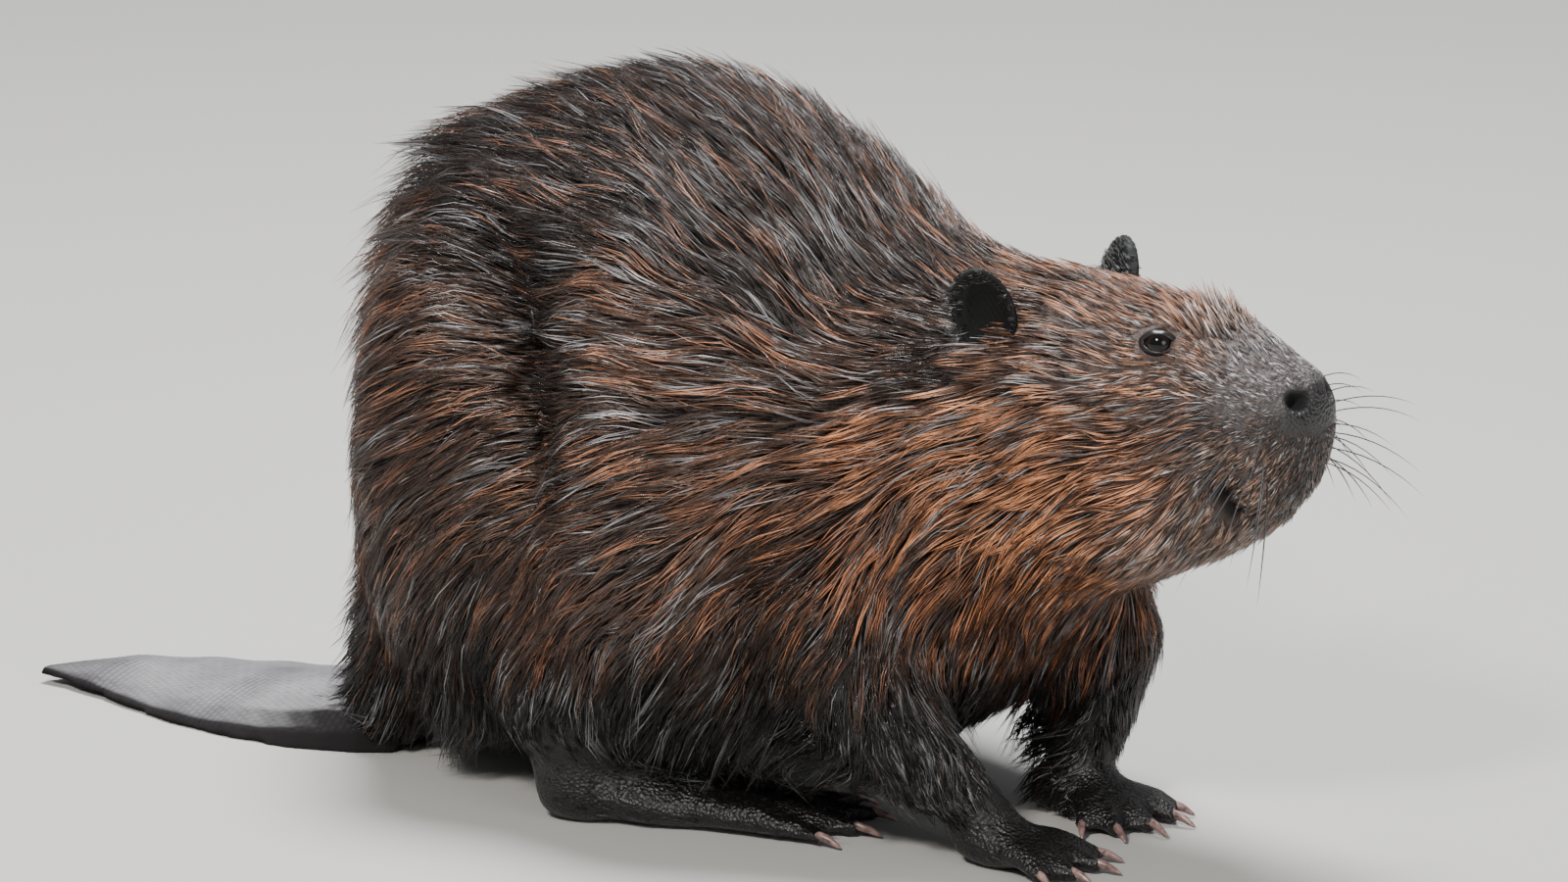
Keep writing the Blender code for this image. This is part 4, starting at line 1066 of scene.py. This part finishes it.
def grow_locks(name, levels, paths, ups, width, colours, wet, root_uv):
    """Builds one coat piece: a copy of the lock template along every path. Widths are in millimetres."""
    ring, round_it, triangles = lock_template(levels)
    count = len(paths)
    ahead = np.gradient(paths, axis=1)
    sideways = unit(np.cross(ahead, ups))
    upwards = unit(np.cross(sideways, ahead))
    profile = np.interp(levels, *LOCK_PROFILE)
    half = (0.5 * MM * width[:, None] * profile[None, :])[:, ring]
    points = (
        paths[:, ring]
        + sideways[:, ring] * (half * np.sin(round_it) * LOCK_ACROSS)[:, :, None]
        + upwards[:, ring] * (half * np.cos(round_it) * LOCK_THICK)[:, :, None]
    )
    each = len(ring)
    corners = (triangles[None] + np.arange(count)[:, None, None] * each).reshape(-1)
    mesh = bpy.data.meshes.new(name)
    mesh.vertices.add(count * each)
    mesh.vertices.foreach_set("co", points.astype(np.float32).ravel())
    mesh.loops.add(len(corners))
    mesh.loops.foreach_set("vertex_index", corners.astype(np.int32))
    mesh.polygons.add(len(corners) // 3)
    mesh.polygons.foreach_set("loop_start", np.arange(0, len(corners), 3, dtype=np.int32))
    mesh.update(calc_edges=True)
    along = np.array(levels)[ring]
    patch = np.stack([
        0.5 + 0.5 * np.sin(round_it) * (1 - MAP_TAPER * along),
        MAP_ALONG * along + (1 - MAP_ALONG) * (0.5 + 0.5 * np.cos(round_it)),
    ], 1)
    on_map = root_uv[:, None, :] + (patch[None] - 0.5) * PATCH
    layer = mesh.uv_layers.new(name="OFBake")
    layer.uv.foreach_set("vector", on_map.reshape(-1, 2)[corners].astype(np.float32).ravel())
    paint(mesh, "coat_tone", colours(ring).reshape(-1, 3))
    paint(mesh, "wet", np.repeat(wet, each))
    made = bpy.data.objects.new(name, mesh)
    bpy.context.scene.collection.objects.link(made)
    return made


Surface = namedtuple("Surface", "points normals triangles face_normals tree uv")


def surface_of(obj):
    mesh = obj.data
    mesh.calc_loop_triangles()
    triangles = np.empty(len(mesh.loop_triangles) * 3, np.int32)
    mesh.loop_triangles.foreach_get("vertices", triangles)
    loops = np.empty(len(mesh.loop_triangles) * 3, np.int32)
    mesh.loop_triangles.foreach_get("loops", loops)
    points = points_of(mesh).astype(float)
    normals = normals_of(mesh).astype(float)
    triangles = triangles.reshape(-1, 3)
    uv = np.empty(len(mesh.loops) * 2, np.float32)
    mesh.uv_layers["OFBake"].uv.foreach_get("vector", uv)
    tree = BVHTree.FromPolygons(points.tolist(), triangles.tolist(), all_triangles=True)
    face_normals = unit(normals[triangles].sum(1))
    return Surface(points, normals, triangles, face_normals, tree, uv.reshape(-1, 2)[loops.reshape(-1, 3)])


def lay_locks(surface, said, coat, place, start, leaders):
    """The coat's locks, combed and gathered into clumps. Also their lengths, and which clump each is in."""
    length = coat.length * place["length"] * vary(coat.locks, *LENGTHS)
    length *= 1 - CREASE_SHORTENS * place["crease"]
    length[leaders] *= LEADER_LENGTH
    fill = vary(coat.locks, FILLS[0] + FILL_BY_LENGTH * coat.length, FILLS[1])
    stray = RANDOM.normal(0, STRAY, (coat.locks, 3))
    paths, ups = comb(surface, said, start, coat.levels, length, fill, place["loose"], stray)
    paths, clump = gather(paths, leaders, coat.levels, coat.pull)
    paths = gather(paths, leaders[::BUNDLE], coat.levels, BUNDLE_PULL)[0]
    tips = paths[:, -1]
    over = (tips[:, 0] < BLADE_CLEAR) & (tips[:, 2] < BLADE_TOP)
    paths[over] = paths[over, :1] + BLADE_SHORTENS * (paths[over] - paths[over, :1])
    return paths, ups, length, clump


def end_colours(coat, place, leaders, clump):
    """Whether each lock ends plain, in rust or in a painted highlight of pale grey, mostly the same through a
    clump.
    """
    pick = coat.together * RANDOM.random(len(leaders))[clump]
    pick += (1 - coat.together) * RANDOM.random(coat.locks)
    pick = np.argsort(np.argsort(pick)) / coat.locks
    rust = pick < coat.accent * place["rusty"]
    glinting = pick > 1 - coat.accent * place["slaty"]
    # the painted highlight's colour: pale grey, brighter over brighter tips
    sheen = (SHEEN_LEAST + SHEEN * place["tip"].mean(1, keepdims=True)) * np.array(SHEEN_TINT)
    return np.where(rust[:, None], place["rust"], np.where(glinting[:, None], sheen, place["tip"]))


def make_coat(surface, said, name, coat, material):
    """Sows, combs and clumps one coat, colours its locks and builds them in one piece or two."""
    picked, shares = sow(surface, said, coat.on or (name,), coat.locks)
    place = {key: at_roots(surface, said[key], picked, shares) for key in READ_AT_ROOTS}
    roots = at_roots(surface, surface.points, picked, shares)
    normals = unit(at_roots(surface, surface.normals, picked, shares))
    root_uv = (surface.uv[picked] * shares[:, :, None]).sum(1)
    leaders = np.arange(0, coat.locks, coat.clump)
    paths, ups, length, clump = lay_locks(surface, said, coat, place, (roots, normals, picked), leaders)

    ends = end_colours(coat, place, leaders, clump)
    shade = vary(len(leaders), *CLUMP_SHADES)[clump] * vary(coat.locks, *LOCK_SHADES)
    # painted shade on hair that starts in a hollow
    shade *= 1 - HOLLOW_SHADES * place["dark"]
    # painted shade: each lock is darker where it passes through the crease
    crease_shade = crease_at(paths.reshape(-1, 3)).reshape(coat.locks, -1)
    crease_shade *= CREASE_SHADE * (RANDOM.random(coat.locks) > CREASE_CROSSED)[:, None]
    width = np.minimum(coat.width, LEAST_WIDTH + WIDTH_GROWTH * length) * vary(coat.locks, *WIDTHS)
    width[leaders] *= SPINE_WIDTH
    pale_from = PALE_FROM_LONG if coat.levels == LONG else PALE_FROM

    def colours_of(own):
        def colours(ring):
            share = np.clip((np.array(coat.levels)[ring] - pale_from) / PALE_OVER, 0, 1)[None, :, None]
            mixed = place["root"][own][:, None] * (1 - share) + ends[own][:, None] * share
            return mixed * (shade[own][:, None] * (1 - crease_shade[own][:, ring]))[:, :, None]
        return colours

    parts = {name: np.arange(coat.locks)}
    if coat.locks > (MOST_SHORT_LOCKS if coat.levels == TINY else MOST_LOCKS):
        parts = {f"{name}_{side}": np.flatnonzero(roots[:, 1] * sign >= 0) for side, sign in SIDES.items()}
    for part, own in parts.items():
        uv = root_uv[own]
        low, high = uv.min(0), uv.max(0)
        uv = PATCH + (uv - low) / (high - low) * (1 - 2 * PATCH)
        piece = grow_locks(
            "coat_" + part, coat.levels, paths[own], ups[own], width[own], colours_of(own),
            np.full(len(own), coat.wet), uv,
        )
        settle_piece(piece, coat.slot, material)


# ---------------------------------------------------------------- eyes, ears, claws, tail and whiskers


EYE_LOOK = (0.36, 0.88, 0.22)  # which way an eye faces, on the left
BALL_SEGMENTS, BALL_RINGS = 40, 28
LID_POINTS = 40  # in each of its rings
LID_ROWS = ((0.00, 0.00), (0.05, 0.40), (0.16, 0.60), (0.32, 0.40), (0.55, -0.50), (0.85, -2.0))  # out, up
# Against the eyeball's radius: the opening, and the lids' breadth.
LID_WIDTH, LID_HEIGHT = 0.82, 0.56
LID_BREADTH = 0.62
LID_CORNER, CORNER_SHARPNESS = 0.16, 6  # the share that the corners add to the opening's width
LID_MIDDLE = 0.70  # the lids' breadth above and below the eye, against that at its corners
BALL_EDGE = 0.97  # no lid starts beyond this share of the radius
LID_SUNK = 0.25 * MM
LID_RISE = 0.90 * MM  # for each unit of up in the rows
LID_FOLDS, FOLD_HEIGHT = 7, 0.12 * MM
LID_WALL = 0.0006


def make_eye(side_name, material, lid_material):
    """A smooth wet ball in place of the plain one, deep inside an almond ring of two thick lids."""
    node = "eye_" + side_name
    low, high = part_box(node)
    radius = (high.z - low.z) / 2
    look = Vector((EYE_LOOK[0], SIDES[side_name] * EYE_LOOK[1], EYE_LOOK[2])).normalized()
    place = Matrix.Translation((low + high) / 2) @ look.to_track_quat("Z", "Y").to_matrix().to_4x4()
    bm = bmesh.new()
    bmesh.ops.create_uvsphere(bm, u_segments=BALL_SEGMENTS, v_segments=BALL_RINGS, radius=radius)
    from_pupil = [1.0 - vert.co.z / radius for vert in bm.verts]
    bmesh.ops.transform(bm, matrix=place, verts=bm.verts)
    ball = object_of("eyeball_" + side_name, bm)
    paint(ball.data, "iris", np.array(from_pupil))
    settle_piece(ball, "eye", material, node)
    make_lids(side_name, radius, place, lid_material)


def lid_point(angle, out, up, radius):
    """A point of the lids, with the eyeball's middle as origin and the eye facing along Z."""
    sideways = abs(math.cos(angle))
    width = LID_WIDTH * (1 + LID_CORNER * sideways ** CORNER_SHARPNESS)
    inner = Vector((math.cos(angle) * radius * width, math.sin(angle) * radius * LID_HEIGHT, 0))
    breadth = radius * LID_BREADTH * (LID_MIDDLE + (1 - LID_MIDDLE) * sideways)
    flat = inner + inner.normalized() * breadth * out
    ball_height = math.sqrt(radius ** 2 - min(inner.length, radius * BALL_EDGE) ** 2)
    fold = FOLD_HEIGHT * math.sin(LID_FOLDS * angle) * out
    return flat.x, flat.y, ball_height - LID_SUNK + up * LID_RISE + fold


def make_lids(side_name, radius, place, material):
    """Rings of points from the opening outwards, joined, thickened and smoothed."""
    bm = bmesh.new()
    angles = [2 * math.pi * k / LID_POINTS for k in range(LID_POINTS)]
    rings = [[bm.verts.new(lid_point(angle, out, up, radius)) for angle in angles] for out, up in LID_ROWS]
    for ring, outer in zip(rings, rings[1:]):
        for k in range(LID_POINTS):
            after = (k + 1) % LID_POINTS
            bm.faces.new((ring[k], ring[after], outer[after], outer[k]))
    bmesh.ops.recalc_face_normals(bm, faces=bm.faces)
    bmesh.ops.transform(bm, matrix=place, verts=bm.verts)
    lids = object_of("eyelid_" + side_name, bm)
    wall = lids.modifiers.new("wall", "SOLIDIFY")
    wall.thickness = LID_WALL
    add_smoothing(lids, 1)
    settle_piece(lids, "ear_skin", material)


def own_axes(points):
    """A flat piece's middle and its axes, from the widest to the thinnest."""
    middle = points.mean(0)
    axes = np.linalg.svd(points - middle, full_matrices=False)[2]
    return middle, axes


EAR_VOXEL = 0.0008
EAR_ROUNDS = 16  # of smoothing
# The cup's middle and reach, up and forward on the leaf, and the rim's and the ribs' place, as shares of its
# half size.
EAR_CUP_AT, EAR_CUP_REACH = (-0.12, 0.10), (0.80, 0.66)
EAR_RIM_AT, EAR_RIM_WIDTH = 0.93, 0.08
EAR_RIBS_END = 1.2
EAR_CUP_DEPTH = 0.0030
EAR_RIM_HEIGHT, EAR_RIM_BEHIND = 0.0010, 0.0002
EAR_RIB_GAP, EAR_RIB_SLANT, EAR_RIB_HEIGHT = 0.0023, 0.25, 0.00022
EAR_FRONT = -0.0004  # the front face lies ahead of this
# painted shade in the cup, and a painted highlight along the rim
EAR_CUP_SHADE, EAR_RIM_HIGHLIGHT = 0.7, 2.5
EAR_CUP_FULL = 1.3  # the cup's painted shade is as dark as it gets a little before it is deepest
EAR_HAIR_LENGTH = 0.0068
EAR_HAIR_LEAST, EAR_HAIR_REAR = 0.55, 0.75  # of that length, everywhere, and added at the rear
EAR_HAIR_DEPTH, EAR_HAIR_LOOSE = 0.0005, 0.35
EAR_REAR = (0.35, 0.75, 0.30)  # its share at the leaf's middle, and what it loses forward and upward
EAR_LIE_FRONT, EAR_LIE_BEHIND = (0.1, -1.0, 0.10), (0.7, -0.7, 0.10)  # up, forward and outward
# more of the hair at the ear's rear ends in a painted highlight
EAR_REAR_GLINT = 0.35
EAR_HAIR_FROM = -0.80  # no hair starts lower than this, or deeper in the cup than the next
EAR_HAIR_CUP = 0.25
Leaf = namedtuple("Leaf", "up front out high wide facing cup rim ribs")


def read_leaf(points, side):
    """The ear's own axes, and where each point lies on them, in the cup, on the rim and on the ribs."""
    middle, axes = own_axes(points)
    out = axes[2] * math.copysign(1.0, axes[2][1] * side)
    up = axes[0] * math.copysign(1.0, axes[0][2])
    front = axes[1] * math.copysign(1.0, axes[1][0])
    local = points - middle
    high, wide = local @ up, local @ front
    ribs = EAR_RIB_HEIGHT * np.sin(2 * math.pi * (wide + EAR_RIB_SLANT * high) / EAR_RIB_GAP)
    high, wide = high / np.abs(high).max(), wide / np.abs(wide).max()
    reach = np.sqrt(high ** 2 + wide ** 2)
    away = (np.stack([high, wide], 1) - EAR_CUP_AT) / EAR_CUP_REACH
    cup = np.clip(1 - (away ** 2).sum(1), 0, 1)
    rim = np.exp(-((reach - EAR_RIM_AT) / EAR_RIM_WIDTH) ** 2)
    ribs *= np.clip(EAR_RIBS_END - reach, 0, 1)
    return Leaf(up, front, out, high, wide, local @ out > EAR_FRONT, cup, rim, ribs)


def ear_hair(leaf, dark):
    """What the guides would say at each point of the ear: hair swept back, longest at its rear."""
    count = len(dark)
    tone = TONES["ear"]
    rear = np.clip(EAR_REAR[0] - EAR_REAR[1] * leaf.wide - EAR_REAR[2] * leaf.high, 0, 1)
    lie = np.where(leaf.facing[:, None], EAR_LIE_FRONT, EAR_LIE_BEHIND)
    return {
        "coat": np.full(count, COAT_NAMES.index("nape")),
        "lie": unit(lie @ np.stack([leaf.up, leaf.front, leaf.out])),
        "length": EAR_HAIR_LENGTH * (EAR_HAIR_LEAST + EAR_HAIR_REAR * rear),
        "depth": np.full(count, EAR_HAIR_DEPTH),
        "loose": np.full(count, EAR_HAIR_LOOSE),
        "crease": np.zeros(count),
        "dark": dark,
        "bare": np.zeros(count),
        "hairy": (leaf.high > EAR_HAIR_FROM) & (~leaf.facing | (leaf.cup < EAR_HAIR_CUP)),
        **{key: np.tile(getattr(tone, key), (count, 1)) for key in ("root", "tip", "rust")},
        "rusty": np.full(count, tone.rusty),
        "slaty": tone.slaty + EAR_REAR_GLINT * rear,
    }


def make_ear(side_name, material, hair):
    """The ear's leaf with a rolled rim, a deep cup and fine ribs in it, and short glossy hair. The cup has
    painted shade and the rim a painted highlight.
    """
    node = "ear_" + side_name
    ear = remeshed_copy("ear_leaf_" + side_name, [node], EAR_VOXEL)
    points = points_of(ear.data).astype(float)
    points = relax(points, edges_of(ear.data), np.ones(len(points)), EAR_ROUNDS)
    leaf = read_leaf(points, SIDES[side_name])
    ahead = EAR_RIM_HEIGHT * leaf.rim - EAR_CUP_DEPTH * leaf.cup
    push = np.where(leaf.facing, ahead, EAR_RIM_BEHIND * leaf.rim) + leaf.ribs
    move_points(ear.data, points + leaf.out[None] * push[:, None])
    # painted shade in the cup, which also darkens the hair there, and a painted highlight on the rim
    dark = np.where(leaf.facing, np.clip(EAR_CUP_FULL * leaf.cup, 0, 1), 0.0)
    shade = 1 - EAR_CUP_SHADE * dark + EAR_RIM_HIGHLIGHT * leaf.rim
    paint(ear.data, "coat_tone", np.array(TONES["ear"].root)[None] * shade[:, None])
    unwrap(ear)
    settle_piece(ear, "ear_skin", material, node)
    make_coat(surface_of(ear), ear_hair(leaf, dark), "ear_" + side_name, EAR_COAT, hair)


CLAW_SWELL = 0.0003  # makes up for what the smoothing takes


def make_claws(foot, material):
    """Smooth curved claws in place of the faceted ones, one piece for each foot."""
    nodes = [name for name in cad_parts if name.startswith("claw_" + foot)]
    bm = bmesh.new()
    for node in nodes:
        bm.from_mesh(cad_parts[node].data)
    swollen(bm, CLAW_SWELL)
    claws = object_of("claws_" + foot, bm)
    add_smoothing(claws, 2)
    settle_piece(claws, "claw", material, *nodes)


BLADE_VOXEL = 0.0010
BLADE_ROUNDS = 10  # of smoothing
SCALE_SIZE = 0.0034
SCALE_ROWS = 0.87  # from one row to the next, against the scales' size
SCALE_NARROW = 1.15  # how much shorter than wide a scale is
SCALE_FLATNESS = 4  # above 2, a scale has a flat top and steep edges
SCALE_HEIGHT = 0.00020
UPPER_FACE = (0.55, 0.25)  # scales rise where the surface faces up by more than this, over so much
TAIL_CREASE_HEIGHT = 0.00035
TAIL_CREASES, TAIL_WAVES, TAIL_WAVE_REACH = 190, 60, 1.2  # how closely they follow, and how they wander
TAIL_CREASE_FROM = 0.03  # they fade out over so much before the tip
TAIL_RIM = (0.97, 0.12)  # the rim is where the surface faces up by less than this, over so much; it is darkened partly for its own colour and partly as painted shade on the sides
TAIL_DARK_TIP = 0.022
# how much the rim is darkened, partly its own dark colour and partly painted shade, and how much the tip is
# darkened in its own colour
RIM_DARK, TIP_DARK = 0.92, 0.75
SEAM_LIGHT = 0.45  # how light the seams between the scales are


def scales_at(points, normals):
    """How far each point is raised on its scale, from 0 to 1. Every other row is shifted by half a scale."""
    row = points[:, 0] / (SCALE_SIZE * SCALE_ROWS)
    shift = np.where(np.round(row).astype(int) % 2 == 0, 0.0, 0.5)
    column = points[:, 1] / SCALE_SIZE + shift
    off_x = (row - np.round(row)) * SCALE_ROWS
    off_y = column - np.round(column)
    off = 2 * np.maximum(np.abs(off_x) * SCALE_NARROW, np.abs(off_y))
    rise = np.clip(1.0 - off ** SCALE_FLATNESS, 0, 1)
    return rise * np.clip((normals[:, 2] - UPPER_FACE[0]) / UPPER_FACE[1], 0, 1)


def make_tail(material):
    """The blade, with rows of small scales raised on it and a few creases across."""
    blade = remeshed_copy("tail_blade", ["tail"], BLADE_VOXEL)
    points = points_of(blade.data).astype(float)
    points = relax(points, edges_of(blade.data), np.ones(len(points)), BLADE_ROUNDS)
    move_points(blade.data, points)
    normals = normals_of(blade.data)
    rise = scales_at(points, normals)
    wander = np.sin(points[:, 1] * TAIL_WAVES) * TAIL_WAVE_REACH
    creases = np.sin(points[:, 0] * TAIL_CREASES + wander) * TAIL_CREASE_HEIGHT
    low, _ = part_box("tail")
    creases *= np.clip((points[:, 0] - low.x) / TAIL_CREASE_FROM, 0, 1)
    raised = points + normals * (rise * SCALE_HEIGHT + creases)[:, None]
    raised[:, 2] = np.maximum(raised[:, 2], 0.0)
    move_points(blade.data, raised)
    # painted shade on the sides that face away from the light, over their own dark colour
    rim = np.clip((TAIL_RIM[0] - normals[:, 2]) / TAIL_RIM[1], 0, 1)
    tip = np.clip(1 - (raised[:, 0] - low.x) / TAIL_DARK_TIP, 0, 1)
    light = (1 - RIM_DARK * rim) * (1 - TIP_DARK * tip)
    paint(blade.data, "scale_rise", (SEAM_LIGHT + (1 - SEAM_LIGHT) * rise) * light)
    paint(blade.data, "rim", rim)
    settle_piece(blade, "tail_scales", material, "tail")


WHISKERS_A_SIDE = 20
WHISKER_ROWS = 4
WHISKER_LEVELS = tuple(np.linspace(0, 1, 9))
# The first whisker's root and heading on the left, and what each further column and each further row adds.
WHISKER_ROOTS = ((0.300, 0.021, 0.192), (-0.004, 0.0026, 0.0015), (0.001, 0.0, -0.0062))
WHISKER_HEADINGS = ((0.42, 0.80, 0.20), (-0.13, 0.10, 0.0), (0.0, 0.0, -0.20))
WHISKER_LENGTH, LENGTH_BY_ROW, LENGTH_VARIES = 0.066, -0.004, 0.006
HEADING_VARIES = 0.07
WHISKER_SAG = (-0.10, 0.0, -0.35)  # over a whisker's length, as a share of it
WHISKER_WIDTH = 0.85  # in millimetres, at its thickest
WHISKER_TONE = (0.006, 0.005, 0.005)
WHISKER_WET = 0.20
WHISKER_REACH = 0.027  # how far they may pass the nose
MAP_EDGE = 0.01


def whisker_path(side, column, row):
    grid = np.array((1, column, row))
    root = grid @ np.array(WHISKER_ROOTS) * (1, side, 1)
    reach = WHISKER_LENGTH + LENGTH_BY_ROW * row + RANDOM.normal(0, LENGTH_VARIES)
    heading = unit(grid @ np.array(WHISKER_HEADINGS) * (1, side, 1))
    heading = unit(heading + RANDOM.normal(0, HEADING_VARIES, 3))
    along = np.array(WHISKER_LEVELS)[:, None]
    path = root + reach * (heading * along + np.array(WHISKER_SAG) * along ** 2)
    over = max(0.0, path[:, 0].max() - cad_high.x - WHISKER_REACH)
    path[:, 0] -= over * along[:, 0]
    return path


def make_whiskers(material):
    """Stiff dark bristles from the pads beside the nose, curving out, forward and down."""
    paths = np.array([
        whisker_path(side, *divmod(i, WHISKER_ROWS))
        for side in SIDES.values() for i in range(WHISKERS_A_SIDE)
    ])
    count = len(paths)
    ups = np.tile((0.0, 0.0, 1.0), (count, len(WHISKER_LEVELS), 1))
    uv = MAP_EDGE + (1 - 2 * MAP_EDGE) * RANDOM.random((count, 2))
    whiskers = grow_locks(
        "whiskers", WHISKER_LEVELS, paths, ups, np.full(count, WHISKER_WIDTH),
        lambda ring: np.tile(WHISKER_TONE, (count, len(ring), 1)), np.full(count, WHISKER_WET), uv,
    )
    settle_piece(whiskers, "black_coat", material)


# ---------------------------------------------------------------- everything together


def main():
    add_camera()
    add_studio()
    skin, said = make_skin()
    hair = wet_hair()
    surface = surface_of(skin)
    for name, coat in COATS.items():
        make_coat(surface, said, name, coat, hair)
    eye, lid, ear_hide = wet_eye(), lid_skin(), ear_leather()
    for side_name in SIDES:
        make_eye(side_name, eye, lid)
        make_ear(side_name, ear_hide, hair)
    horn = claw_horn()
    for foot in ("forefoot_left", "forefoot_right", "hindfoot_left", "hindfoot_right"):
        make_claws(foot, horn)
    make_tail(tail_hide())
    make_whiskers(hair)


main()
